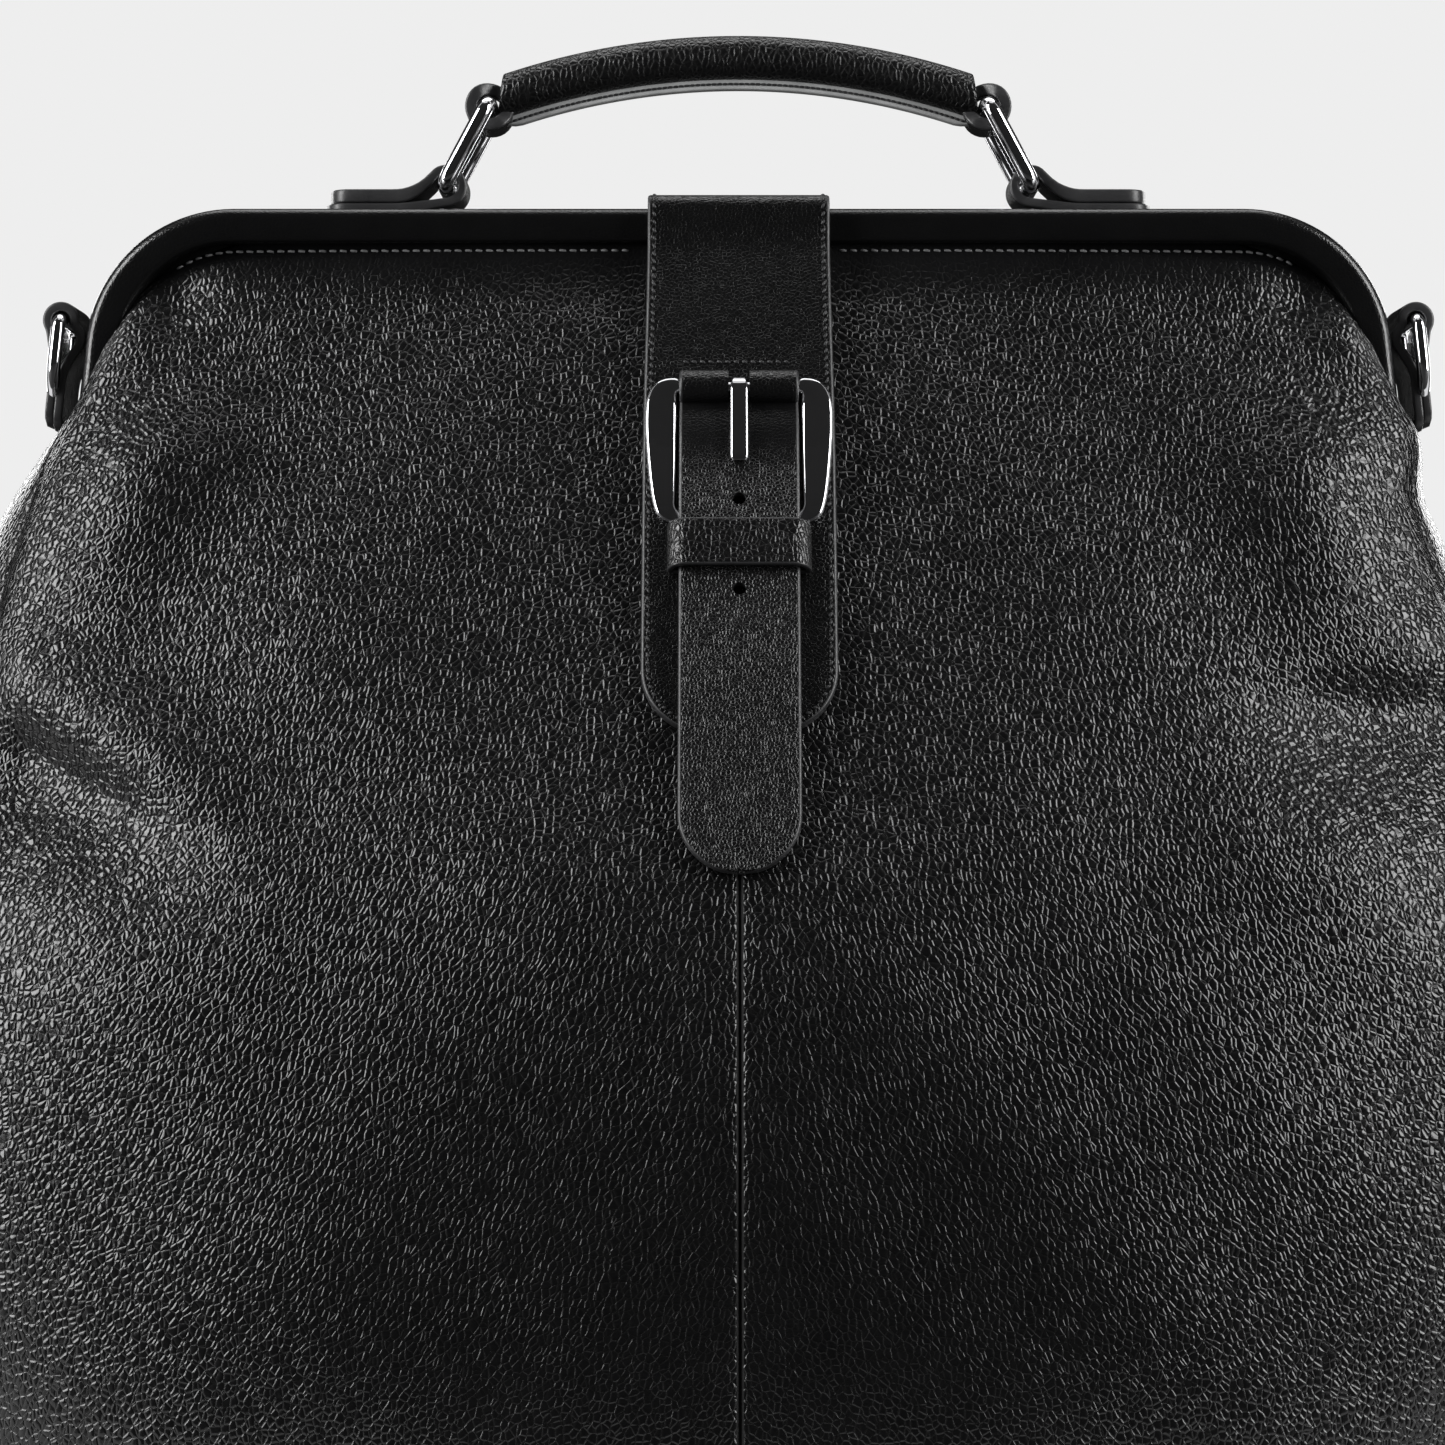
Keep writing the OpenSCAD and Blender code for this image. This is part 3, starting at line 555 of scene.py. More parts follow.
below_throat = smooth_curve([
    (14, throat_x(14)), (20.5, throat_x(20.5) + 0.6), (30, 166.0), (40, 170.4), (51, 175.2),
    (62, 180.8), (70, 184.2), (0.3 * TOP, 0.903 * HALF_W), (0.43 * TOP, 0.94 * HALF_W),
    (0.57 * TOP, 0.958 * HALF_W), (0.8 * TOP, 0.945 * HALF_W), (BASE_DROP, 0.905 * HALF_W)])
seam_depth = smooth_curve([
    (TUCK, 0.62 * HALF_D), (PASS, HALF_D + 3.5), (PASS + 15, HALF_D + 6), (0.3 * TOP, 0.33 * HALF_B),
    (0.43 * TOP, 0.42 * HALF_B), (0.57 * TOP, 0.54 * HALF_B), (0.75 * TOP, 0.61 * HALF_B),
    (BASE_DROP, 0.58 * HALF_B)])
SLOPE = (0.86 * HALF_B - HALF_D + 2.5) / (0.514 * TOP - TUCK)


def slope_y(t):
    """Distance of the front panel's flat upper slope from the parting plane."""
    return HALF_D - 2.5 + (t - TUCK) * SLOPE


belly = smooth_curve([
    (TUCK, slope_y(TUCK)), (80, slope_y(80)), (150, slope_y(150)), (0.514 * TOP, 0.86 * HALF_B),
    (0.61 * TOP, 0.943 * HALF_B), (0.71 * TOP, 0.985 * HALF_B), (0.82 * TOP, 1.005 * HALF_B),
    (0.9 * TOP, HALF_B), (BASE_DROP, 0.94 * HALF_B)])
side_bulge = smooth_curve([
    (PASS, 0.838 * HALF_W), (PASS + 6, 0.842 * HALF_W), (PASS + 15, 0.872 * HALF_W),
    (0.243 * TOP, 0.932 * HALF_W), (0.343 * TOP, 0.985 * HALF_W), (0.46 * TOP, HALF_W),
    (0.63 * TOP, 0.995 * HALF_W), (0.8 * TOP, 0.977 * HALF_W), (BASE_DROP, 0.944 * HALF_W)])


def bell(x, middle, spread):
    """A smooth bump of height 1."""
    return math.exp(-((x - middle) / spread) ** 2)


def ease(x, low, high):
    """0 below low, 1 above high, smooth between."""
    k = min(1.0, max(0.0, (x - low) / (high - low)))
    return k * k * (3 - 2 * k)


def pinch(t, x):
    """The leather is drawn in beside the hinge, a little lower on the left."""
    return bell(t, HINGE_DROP + (PINCH_LEFT if x < 0 else PINCH_RIGHT), PINCH_SPREAD)


def slump(t, x):
    """The bag's right side sinks in under the frame's corner, its left side doesn't."""
    return ease(t, *SLUMP_IN) * (1 - ease(t, *SLUMP_OUT)) if x > 0 else 0.0


def seam_x(t, x):
    """Half width of the seams between the panels and the gussets, on the side of x."""
    return (throat_x(t) if t <= 14 else float(below_throat(t))) - 2.0 * pinch(t, x) - 9.0 * slump(t, x)


def seam_y(t, x):
    """Distance of those seams from the parting plane."""
    return float(seam_depth(t)) - 1.5 * pinch(t, x)


def crown(u):
    """Rounded profile across a panel: 1 in the middle, 0 at the seams."""
    return max(0.0, 1 - abs(u) ** 2.6) ** 0.6


print("frame top", TOP, "seams at the hinge", [round(seam_x(HINGE_DROP, x), 1) for x in (-1, 1)])

# %% [markdown]
# ## Front and rear panels
# A panel is two halves of one hide, sewn edge to edge down the middle and turned in at
# the sides. Real milled leather isn't a neat surface: it folds beside the hinge, where
# the frame stops holding it, and plumps out above and below that fold. Those moves are
# written as bumps added to the lofted surface.

# %% Panels
SEAM_X = np.array([0.0, 0.35, 0.9, 1.8, 3.5])
PANEL_COLUMNS = 56
PANEL_ROWS = 150
PANEL_TOP = 8.8
HELD_IN = (182, 197)


def softness(x, t):
    """Low waves that leather has everywhere, in millimetres."""
    return (0.5 * math.sin(x / 31 + 1.3) * math.sin(t / 27 + 0.4) + 0.35 * math.sin(x / 17 - t / 23)
            + 0.25 * math.sin(x / 11 + t / 13 + 2.0))


def folds(x, t, edge):
    """How far the panel stands proud of its lofted surface. Edge is the seam's distance."""
    a = abs(x)
    line = 148 + 0.51 * max(0.0, 185 - a) if x < 0 else 136.0
    held = 1 - 0.6 * ease(a, *HELD_IN)
    dent = -7.0 * ease(a, 116, 170) * held * bell(t, line, 10 if t < line else 30)
    brim = (4.5 if x < 0 else 1.5) * ease(a, 112, 160) * held * bell(t, line - 22, 14)
    shoulder = 6.0 * bell(edge, 27, 20) * bell(t, 76, 34)
    below = 4.0 * bell(a, 150, 34) * bell(t, line + 30, 26)
    return dent + brim + shoulder + below


def pleat(a, t):
    """The small hollow and ridge where the hide is gathered round the frame's corner."""
    return 1.3 * bell(a, 160, 6) * bell(t, 32, 9) - 2.0 * bell(a, 150, 8) * bell(t, 26, 7)


def panel_point(x_share, x_mm, t, inset, side):
    """A point of a panel: side -1 is the front. x comes as millimetres near the seam."""
    way = x_share if x_mm is None else x_mm
    wide = seam_x(t, way) - 0.7 * inset
    x = x_share * wide if x_mm is None else x_mm
    u = x / wide
    deep = seam_y(t, way) - 0.7 * inset
    y = deep + (float(belly(t)) - inset - deep) * crown(u)
    rim = ease(abs(u), 0.978, 1.0)
    free = ease(t, 14, 40) * ease(BASE_DROP - t, 0, 30) * (1 - rim)
    y += free * (softness(x * side, t) + folds(x, t, wide - abs(x)) * ease(t, 40, 70))
    y += pleat(abs(x), t) * (1 - rim)
    y -= 1.2 * bell(x, 0, 0.45) + 0.3 * bell(x, 0, 2.4)
    y -= (0.8 + 0.7 * ease(t, 66, 88)) * rim
    return (x, side * y, TOP - t)


def panel_grid(side, inset):
    """Rows of points over a whole panel, at an inset from its outer face."""
    shares = [math.sin(math.pi / 2 * k / PANEL_COLUMNS) for k in range(2, PANEL_COLUMNS + 1)]
    rows = []
    for i in range(PANEL_ROWS + 1):
        t = PANEL_TOP + (BASE_DROP - PANEL_TOP) * i / PANEL_ROWS
        right = [panel_point(None, x, t, inset, side) for x in SEAM_X]
        right += [panel_point(s, None, t, inset, side) for s in shares]
        left = [panel_point(None, -x, t, inset, side) for x in SEAM_X[:0:-1]]
        left = [panel_point(-s, None, t, inset, side) for s in shares[::-1]] + left
        rows.append(left + right)
    return np.array(rows)


front_panel = slab("front_panel", panel_grid(-1, 0), panel_grid(-1, SHELL_T), [pebbled, raw_edge])
rear_panel = slab("rear_panel", panel_grid(1, 0), panel_grid(1, SHELL_T), [pebbled, raw_edge])
for panel in (front_panel, rear_panel):
    for face in panel.data.polygons:
        face.material_index = int(abs(face.center.x) < SEAM_X[2] * MM)
print("panels:", len(front_panel.data.polygons), "faces each")

# %% [markdown]
# ## How the leather folds
# When the frame opens, the front panel's upper part goes with it and its belly stays.
# The leather between turns a little at each height. Those two heights are set down
# here, and each piece sewn to the front only has its placement baked into its mesh.

# %% Front fold
FOLD_HIGH = 0.235
FOLD_LOW = 0.130


def fold_with_front(o):
    """Bakes o's placement into its mesh; it is not made to fold with the front half."""
    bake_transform(o)


fold_with_front(front_panel)
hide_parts("front_panel_upper_left", "front_panel_upper_right", "front_panel_fold",
            "front_panel_lower_left", "front_panel_lower_right")
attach(rear_panel, "root")
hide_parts("rear_panel_left", "rear_panel_right")
print("front panel folds between", FOLD_HIGH, "and", FOLD_LOW)

# %% [markdown]
# ## Gussets
# A gusset is the bag's side, sewn to both panels. Its front edge has to fold with the
# front panel while its rear edge stays. The slanting line it would bend along, from low
# on the front seam to the top of the rear seam, is set down as points, and the gusset
# itself only has its placement baked into its mesh.

# %% Gussets
GUSSET_TOP = 56.0
GUSSET_COLUMNS = 40
GUSSET_ROWS = 110
RIVET_Y, RIVET_DROP = 5.5, 64.0


def gusset_point(v, t, inset, side):
    """A point of a gusset, v from -1 at the front seam to 1 at the rear seam."""
    sx, sy = seam_x(t, side) - 0.7 * inset, seam_y(t, side) - 0.7 * inset
    out = float(side_bulge(t)) - inset - 2.5 * pinch(t, side) - 11.5 * slump(t, side)
    x = sx + (out - sx) * (1 - abs(v) ** 2.4)
    rim = ease(abs(v), 0.93, 1.0)
    free = ease(t, 60, 90) * ease(BASE_DROP - t, 0, 30) * (1 - rim)
    x += free * 0.8 * softness(sy * v * 1.4 + 40 * side, t) - (0.8 + 0.6 * ease(t, 66, 88)) * rim
    x += 0.8 * bell(sy * v, RIVET_Y, 6) * bell(t, RIVET_DROP, 6)
    return (side * x, sy * v, TOP - t)


def gusset_grid(side, inset):
    """Rows of points over a gusset, with its top edge rolled in as a hem."""
    vs = [math.sin(math.pi / 2 * (2 * j / GUSSET_COLUMNS - 1)) for j in range(GUSSET_COLUMNS + 1)]
    rows = [[gusset_point(v, GUSSET_TOP, inset + hem, side) for v in vs] for hem in (1.6, 0.6)]
    for i in range(GUSSET_ROWS + 1):
        t = GUSSET_TOP + 0.8 + (BASE_DROP - GUSSET_TOP - 0.8) * i / GUSSET_ROWS
        rows.append([gusset_point(v, t, inset, side) for v in vs])
    return np.array(rows)


low_front = np.array([-seam_y(TOP - FOLD_LOW / MM, 0), FOLD_LOW / MM])
high_front = np.array([-seam_y(TOP - FOLD_HIGH / MM, 0), FOLD_HIGH / MM])
high_rear = np.array([seam_y(GUSSET_TOP, 0), TOP - GUSSET_TOP])


def fold_with_side(o):
    """Bakes o's placement into its mesh; its front edge is not made to fold."""
    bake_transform(o)


for side, hand in ((-1, "left"), (1, "right")):
    gusset = slab("gusset_" + hand + "_leather", gusset_grid(side, 0), gusset_grid(side, SHELL_T), [pebbled])
    fold_with_side(gusset)
    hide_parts("gusset_upper_" + hand, "gusset_lower_" + hand)

# %% [markdown]
# ## Lining
# A cloth lining is glued inside the leather, so it's one more slab at a deeper inset
# that is placed the same way. It shows when the bag is open.

# %% Lining
LINING = (PANEL_T + 0.1, PANEL_T + 0.8)


def lined(name, grid, side):
    """A sheet of lining cloth behind a panel or a gusset."""
    return slab(name, grid(side, LINING[0]), grid(side, LINING[1]), [lining_cloth])


lining_front = lined("lining_front_cloth", panel_grid, -1)
fold_with_front(lining_front)
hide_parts("lining_front")
lining_rear = lined("lining_rear_cloth", panel_grid, 1)
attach(lining_rear, "root")
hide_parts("lining_rear")
for side, hand in ((-1, "left"), (1, "right")):
    lining = lined("lining_" + hand + "_cloth", gusset_grid, side)
    fold_with_side(lining)
    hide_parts("lining_lower")
print("lining: 4 pieces")

# %% [markdown]
# ## The base
# The base is one leather panel under the board. Its outline is the lower edge of the
# panels and gussets, and its rim is rounded where it is turned under.

# %% Base
BASE_LOW = 6.0
BASE_HIGH = TOP - BASE_DROP


def base_ring(inset):
    """The body's outline at the floor end, as a closed ring."""
    shares = [math.sin(math.pi / 2 * k / 24) for k in range(-24, 25)]
    front = [panel_point(share, None, BASE_DROP, inset, -1)[:2] for share in shares]
    side = [gusset_point(math.sin(math.pi / 2 * (k / 8)), BASE_DROP, inset, 1)[:2] for k in range(-7, 8)]
    ring = front + side + [(x, -y) for x, y in front[::-1]] + [(-x, y) for x, y in side[::-1]]
    return np.array(ring)


def stacked(name, rings, heights, materials):
    """A flat piece whose outline changes with height, closed by a face at each end."""
    points = [(x, y, z) for ring, z in zip(rings, heights) for x, y in ring]
    n = len(rings[0])
    faces = [tuple(range(n))[::-1], tuple(range(n * (len(rings) - 1), n * len(rings)))]
    for i in range(len(rings) - 1):
        a, b = i * n, (i + 1) * n
        faces += [(a + j, a + (j + 1) % n, b + (j + 1) % n, b + j) for j in range(n)]
    return finish_mesh(name, points, faces, materials)


base = stacked("base_leather", [base_ring(d) for d in (1.6, 0.5, 0.2, 0.2, 0.8)],
               [BASE_LOW, BASE_LOW + 0.35, BASE_LOW + 1.0, BASE_HIGH - 0.5, BASE_HIGH], [pebbled])
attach(base, "root")
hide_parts("base_panel")
print("base:", [round(v, 1) for v in base.dimensions / MM])

# %% [markdown]
# ## The frame's cover
# Each half of the steel frame is wrapped in smooth leather. The wrap is a rounded bar
# swept along the frame's outline: up one leg, round a corner, along the top and down.

# %% Frame cover
COVER_FOOT = TOP - HINGE_DROP + 18
CORNER_STEPS = 24


def outline_path():
    """Points of the frame's outer edge and the outward direction at each, in x and z."""
    right = []
    for z in np.linspace(COVER_FOOT, TOP - CORNER_R + CORNER_R * math.sin(SPLAY), 14)[:-1]:
        right.append((leg_x(z, 0), z, SPLAY))
    for k in range(CORNER_STEPS + 1):
        a = SPLAY + (math.pi / 2 - SPLAY) * k / CORNER_STEPS
        right.append((RUN + CORNER_R * math.cos(a), TOP - CORNER_R + CORNER_R * math.sin(a), a))
    for x in np.linspace(RUN, 0, 20)[1:]:
        right.append((x, TOP, math.pi / 2))
    left = [(-x, z, math.pi - a) for x, z, a in right[-2::-1]]
    return right + left


def rounded_bar(low, high, near, far, radii, steps=6):
    """A closed rounded rectangle. Radii are for (low near, high near, high far, low far)."""
    corners = [(low, near, 180, radii[0]), (high, near, 270, radii[1]),
               (high, far, 0, radii[2]), (low, far, 90, radii[3])]
    points = []
    for n, y, start, r in corners:
        cn = n + (r if n == low else -r)
        cy = y + (r if y == near else -r)
        for k in range(steps + 1):
            a = math.radians(start + 90 * k / steps)
            points.append((cn + r * math.cos(a), cy + r * math.sin(a)))
    return points


def tube(name, rings, materials, closed=False):
    """A skin through closed rings of points, capped unless it closes on itself."""
    rings = np.asarray(rings, float)
    n, m = rings.shape[:2]
    faces = []
    for i in range(n if closed else n - 1):
        a, b = i * m, (i + 1) % n * m
        faces += [(a + j, a + (j + 1) % m, b + (j + 1) % m, b + j) for j in range(m)]
    if not closed:
        faces += [tuple(range(m))[::-1], tuple(range((n - 1) * m, n * m))]
    return finish_mesh(name, rings.reshape(-1, 3), faces, materials)


def cover_rings(side):
    """The wrapped bar of one half: side -1 is the front."""
    section = rounded_bar(-LIP, 0, 0.15, HALF_D, (1.2, 1.0, 3.2, 1.6))
    return [[(x + n * math.cos(a), side * y, z + n * math.sin(a)) for n, y in section]
            for x, z, a in outline_path()]


for side, half, body in ((-1, "front", "front_half"), (1, "rear", "root")):
    wrap = tube(half + "_frame_leather", cover_rings(side), [frame_leather])
    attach(wrap, body)
    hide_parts(half + "_frame_cover")
print("frame wraps:", len(wrap.data.polygons), "faces each")

# %% [markdown]
# ## Stitches
# Thread shows as a row of short dashes. Each dash is a small rounded bar that sinks
# into the leather at both ends. All the dashes of a seam are one mesh, and they lean a
# little, as hand-guided stitches do.

# %% Stitch maker
STITCH = 2.8
STITCH_R = 0.32
DASH = [(-0.5, 0.35, -0.6), (-0.38, 0.85, 0.15), (0.0, 1.0, 0.45), (0.38, 0.85, 0.15), (0.5, 0.35, -0.6)]
DASH_SIDES = 8
seam_order = random.Random(7)


def stitch_row(name, path, normal, pitch=STITCH, share=0.72, lean=0.12, colour=None):
    """Dashes along a path. Normal is one direction, or one for each point of the path."""
    path = np.asarray(path, float)
    normal = np.broadcast_to(np.asarray(normal, float), path.shape)
    run = np.concatenate([[0], np.cumsum(np.linalg.norm(np.diff(path, axis=0), axis=1))])
    points, faces = [], []
    sides = DASH_SIDES
    for k in range(int(run[-1] / pitch)):
        s = (k + 0.5) * pitch
        at = np.array([np.interp(s, run, path[:, c]) for c in range(3)])
        ahead = np.array([np.interp(s + 0.5, run, path[:, c]) for c in range(3)])
        up = np.array([np.interp(s, run, normal[:, c]) for c in range(3)])
        along = (ahead - at) / np.linalg.norm(ahead - at)
        up = up - along * (up @ along)
        up /= np.linalg.norm(up)
        cross = np.cross(along, up)
        tilt = lean + seam_order.uniform(-0.04, 0.04)
        c, d = math.cos(tilt), math.sin(tilt)
        along, cross = along * c + cross * d, cross * c - along * d
        first = len(points)
        for place, fat, rise in DASH:
            for q in range(sides):
                a = 2 * math.pi * q / sides
                high, aside = rise + fat * math.sin(a), 1.15 * fat * math.cos(a)
                points.append(at + along * place * pitch * share + STITCH_R * (up * high + cross * aside))
        for r in range(len(DASH) - 1):
            a, b = first + r * sides, first + (r + 1) * sides
            faces += [(a + q, a + (q + 1) % sides, b + (q + 1) % sides, b + q) for q in range(sides)]
        last = first + (len(DASH) - 1) * sides
        faces += [tuple(range(first, first + sides))[::-1], tuple(range(last, last + sides))]
    return finish_mesh(name, points, faces, [colour or thread])


def panel_seam(side, start, stop, drop):
    """A path along a panel's upper edge, a set drop below the lip."""
    path = []
    for x in np.linspace(start, stop, 160):
        a = abs(x)
        t = drop
        if a > RUN:
            r = CORNER_R - drop
            t = CORNER_R - math.sqrt(max(0.0, r * r - (a - RUN) ** 2))
        path.append(panel_point(None, x, t, 0, side))
    return path


SEAM_DROP = 11.3
SEAM_END, STRAP_EDGE = 151, 26.5
FRONT_SPANS = ((-SEAM_END, -STRAP_EDGE, "left"), (STRAP_EDGE, SEAM_END, "right"))
REAR_SPANS = ((-SEAM_END, SEAM_END, "run"),)
for side, face in ((-1, "front"), (1, "rear")):
    spans = FRONT_SPANS if side < 0 else REAR_SPANS
    for start, stop, part in spans:
        path = panel_seam(side, start, stop, SEAM_DROP)
        row = stitch_row(f"{face}_panel_stitches_{part}", path, (0, side, 0.3))
        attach(row, "front_half" if side < 0 else "root")
print("panel seams sewn")

# %% [markdown]
# ## The wide strap
# The strap lies on the front panel's slope, turns over the frame's front edge and ends
# in a tail on top. The tail lifts, so the strap is cut there, on its short upright
# stretch where the cut doesn't show. Both pieces are ribbons with sewn, painted edges.

# %% Strap path
STRAP_W = 50.0
STRAP_TOP_W = 48.4
STRAP_T = 3.4
STRAP_DROP = 141.0
STRAP_GAP = 0.3
BEND_DROP = 8.0
STRAP_Y = HALF_D + 0.6
TILT = math.atan((slope_y(STRAP_DROP) + STRAP_GAP - STRAP_Y) / (STRAP_DROP - BEND_DROP))
STRAP_L = (STRAP_DROP - BEND_DROP) / math.cos(TILT)
OUT = np.array([0.0, -math.cos(TILT), math.sin(TILT)])
DOWN = np.array([0.0, -math.sin(TILT), -math.cos(TILT)])
HINGE_LINE = np.array([0.0, -STRAP_Y, TOP - BEND_DROP])
SPLIT_Z = TOP - 4.0
TAIL_T = 2.6
TAIL_MID = TOP + 0.5 + TAIL_T / 2
TAIL_END = HALF_D - 1.5
X_AXIS = np.array([1.0, 0.0, 0.0])
Y_AXIS = np.array([0.0, 1.0, 0.0])


def on_strap(x, out, down):
    """A point on the strap's slope: out from its inner face, down from its bend."""
    return HINGE_LINE + X_AXIS * x + OUT * out + DOWN * down


def end_width(full, radius, left):
    """Half width of a strap with rounded corners, at a distance from its end."""
    if left >= radius:
        return full / 2
    return full / 2 - radius + math.sqrt(max(0.0, radius ** 2 - (radius - left) ** 2))


def spread_out(start, stop, count, radius):
    """Stations along a strap, close together over its rounded end."""
    straight = np.linspace(start, stop - radius, count)
    turn = np.linspace(0, math.pi / 2, 16)[1:]
    return np.concatenate([straight, stop - radius + radius * np.sin(turn)])


def top_width(s):
    """The strap narrows a little towards the frame."""
    return STRAP_TOP_W + (STRAP_W - STRAP_TOP_W) * ease(s, 0, 70)


END_R = 0.34 * STRAP_W
BEND_LOW = 9.0
centre, facing, widths, thin = [], [], [], []
point, s = on_strap(0, STRAP_T / 2, BEND_LOW), BEND_LOW
while point[2] < SPLIT_Z:
    s -= 0.5
    a = TILT * ease(s, -5, BEND_LOW)
    point = point + 0.5 * np.array([0.0, math.sin(a), math.cos(a)])
    centre.insert(0, point)
    facing.insert(0, (0, -math.cos(a), math.sin(a)))
SPLIT = centre[0]
for s in spread_out(BEND_LOW, STRAP_L, 70, END_R):
    centre.append(on_strap(0, STRAP_T / 2, s))
    facing.append(OUT)
for p in centre:
    left = STRAP_L - float((np.asarray(p) - HINGE_LINE) @ DOWN)
    widths.append(end_width(top_width(STRAP_L - left), END_R, max(left, 0)))
    thin.append(1.0 if left > 0.8 else 0.55 + 0.45 * max(left, 0) / 0.8)
strap = ribbon("front_strap", centre, facing, X_AXIS, widths, STRAP_T, [smooth, edge_paint], thin=thin)
fold_with_front(strap)
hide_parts("closure_strap", "closure_strap_end")
print("strap", round(STRAP_L, 1), "mm long, tilt", round(math.degrees(TILT), 1))

# %% [markdown]
# ## The strap's tail
# The tail would follow the frame's front half at the cut and its own hinge beyond the
# bend, so that the leather bends over the frame's edge as the tail lifts; here it only
# has its placement baked into its mesh.

# %% Strap tail
BEND_R = 2.6
tail_centre, tail_facing = [], []
corner = np.array([0.0, SPLIT[1] + BEND_R, TAIL_MID - BEND_R])
for z in np.linspace(SPLIT[2], corner[2], 3)[:-1]:
    tail_centre.append((0, SPLIT[1], z))
    tail_facing.append((0, -1, 0))
for a in np.radians(np.linspace(0, 90, 13)):
    d = np.array([0, -math.cos(a), math.sin(a)])
    tail_centre.append(corner + BEND_R * d)
    tail_facing.append(d)
for y in np.linspace(corner[1], TAIL_END, 16)[1:]:
    tail_centre.append((0, y, TAIL_MID))
    tail_facing.append((0, 0, 1))
tail_left = [TAIL_END - p[1] for p in tail_centre]
tail_wide = [end_width(STRAP_TOP_W, 4.0, max(v, 0)) for v in tail_left]
skive = TAIL_T / STRAP_T
tail_thin = [(1 + (skive - 1) * ease(p[2], SPLIT_Z, TAIL_MID)) * (1.0 if v > 0.5 else 0.7)
             for p, v in zip(tail_centre, tail_left)]
tail = ribbon("strap_tail_leather", tail_centre, tail_facing, X_AXIS, tail_wide, STRAP_T,
              [smooth, edge_paint], thin=tail_thin)


def fold_with_tail(o):
    """Bakes o's placement into its mesh; it does not follow the tail's hinge."""
    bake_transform(o)


fold_with_tail(tail)
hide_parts("strap_tail")
print("tail:", len(tail.data.polygons), "faces")

# %% [markdown]
# ## The strap's stitching
# Two rows of black thread run down the strap, just inside its edges, and meet round its
# lower end.

# %% Strap stitches
SEW_IN = 1.8
SEWN_BLACK = {"pitch": 2.2, "colour": black_thread}


def strap_edge(side):
    """The stitch line down one side of the strap and round to the middle of its end."""
    path, normals = [], []
    for p, n, w in zip(centre, facing, widths):
        left = STRAP_L - float((np.asarray(p) - HINGE_LINE) @ DOWN)
        if left > END_R:
            path.append(np.asarray(p) + np.asarray(n) * STRAP_T / 2 + X_AXIS * side * (w - SEW_IN))
            normals.append(n)
    for a in np.radians(np.linspace(0, 90, 14)):
        r = END_R - SEW_IN
        x = STRAP_W / 2 - END_R + r * math.cos(a)
        path.append(on_strap(side * x, STRAP_T, STRAP_L - END_R + r * math.sin(a)))
        normals.append(OUT)
    path.append(on_strap(0, STRAP_T, STRAP_L - SEW_IN))
    normals.append(OUT)
    return path, normals


for side, hand in ((-1, "left"), (1, "right")):
    row = stitch_row("strap_stitches_" + hand, *strap_edge(side), lean=0.5 * side, **SEWN_BLACK)
    fold_with_front(row)
    path = [np.asarray(p) + np.asarray(n) * STRAP_T / 2 * f + X_AXIS * side * (STRAP_TOP_W / 2 - SEW_IN)
            for p, n, f in zip(tail_centre[:-3], tail_facing, tail_thin)]
    row = stitch_row("tail_stitches_" + hand, path, tail_facing[:-3], lean=0.5 * side, **SEWN_BLACK)
    fold_with_tail(row)
print("strap sewn")

# %% [markdown]
# ## The narrow strap
# The billet comes from under the buckle's leather roll, passes through the keeper and
# hangs free with a rounded tip. Its holes are cut right through.

# %% Billet
BILLET_W = 31.0
BILLET_T = 2.6
BILLET_DROP = 176.0
BILLET_OUT = STRAP_T + 2.0
BILLET_START = 51.6
BILLET_L = (BILLET_DROP - BEND_DROP) / math.cos(TILT)
BILLET_R = 0.49 * BILLET_W
FLAT_END = 108.0
HOLE_R = 1.7
HOLES = (80.0, 105.0)


def billet_out(s):
    """How far the billet's inner face stands off the strap's inner face."""
    tucked = 1.6 * (1 - ease(s, 50, 63))
    return BILLET_OUT - tucked - (BILLET_OUT - 1.6) * ease(s, FLAT_END, BILLET_L + 14)


stations = spread_out(BILLET_START, BILLET_L, 64, BILLET_R)
b_centre = [on_strap(0, billet_out(s) + BILLET_T / 2, s) for s in stations]
b_widths = [end_width(BILLET_W, BILLET_R, BILLET_L - s) for s in stations]
b_thin = [1.0 if BILLET_L - s > 0.7 else 0.5 for s in stations]
billet = ribbon("billet", b_centre, [OUT] * len(stations), X_AXIS, b_widths, BILLET_T,
                [billet_leather, edge_paint], thin=b_thin)


def cut_away(o, cutter):
    """Cuts one mesh out of another and removes the cutter."""
    cut = o.modifiers.new("cut", "BOOLEAN")
    cut.operation = "DIFFERENCE"
    cut.solver = "EXACT"
    cut.object = cutter
    bpy.context.view_layer.update()
    whole = o.evaluated_get(bpy.context.evaluated_depsgraph_get())
    mesh = bpy.data.meshes.new_from_object(whole)
    o.modifiers.clear()
    old, o.data = o.data, mesh
    bpy.data.meshes.remove(old)
    bpy.data.objects.remove(cutter)
    o.data.set_sharp_from_angle(angle=SHARP)


def punch(s):
    """A round cutter across the billet."""
    rings = []
    for out in (-3, 3):
        c = on_strap(0, billet_out(s) + BILLET_T / 2 + out, s)
        rings.append([c + HOLE_R * (X_AXIS * math.cos(a) + DOWN * math.sin(a))
                      for a in np.linspace(0, 2 * math.pi, 28, endpoint=False)])
    return tube("punch", rings, [edge_paint])


for s in HOLES:
    cut_away(billet, punch(s))
fold_with_front(billet)
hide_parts("billet_strap", "billet_end")
print("billet", round(BILLET_L - BILLET_START, 1), "mm long with", len(HOLES), "holes")

# %% [markdown]
# ## The buckle's leather roll
# A short strap is folded round the buckle's top bar and sewn to the wide strap above
# it. The prong turns in a slot cut in the roll.

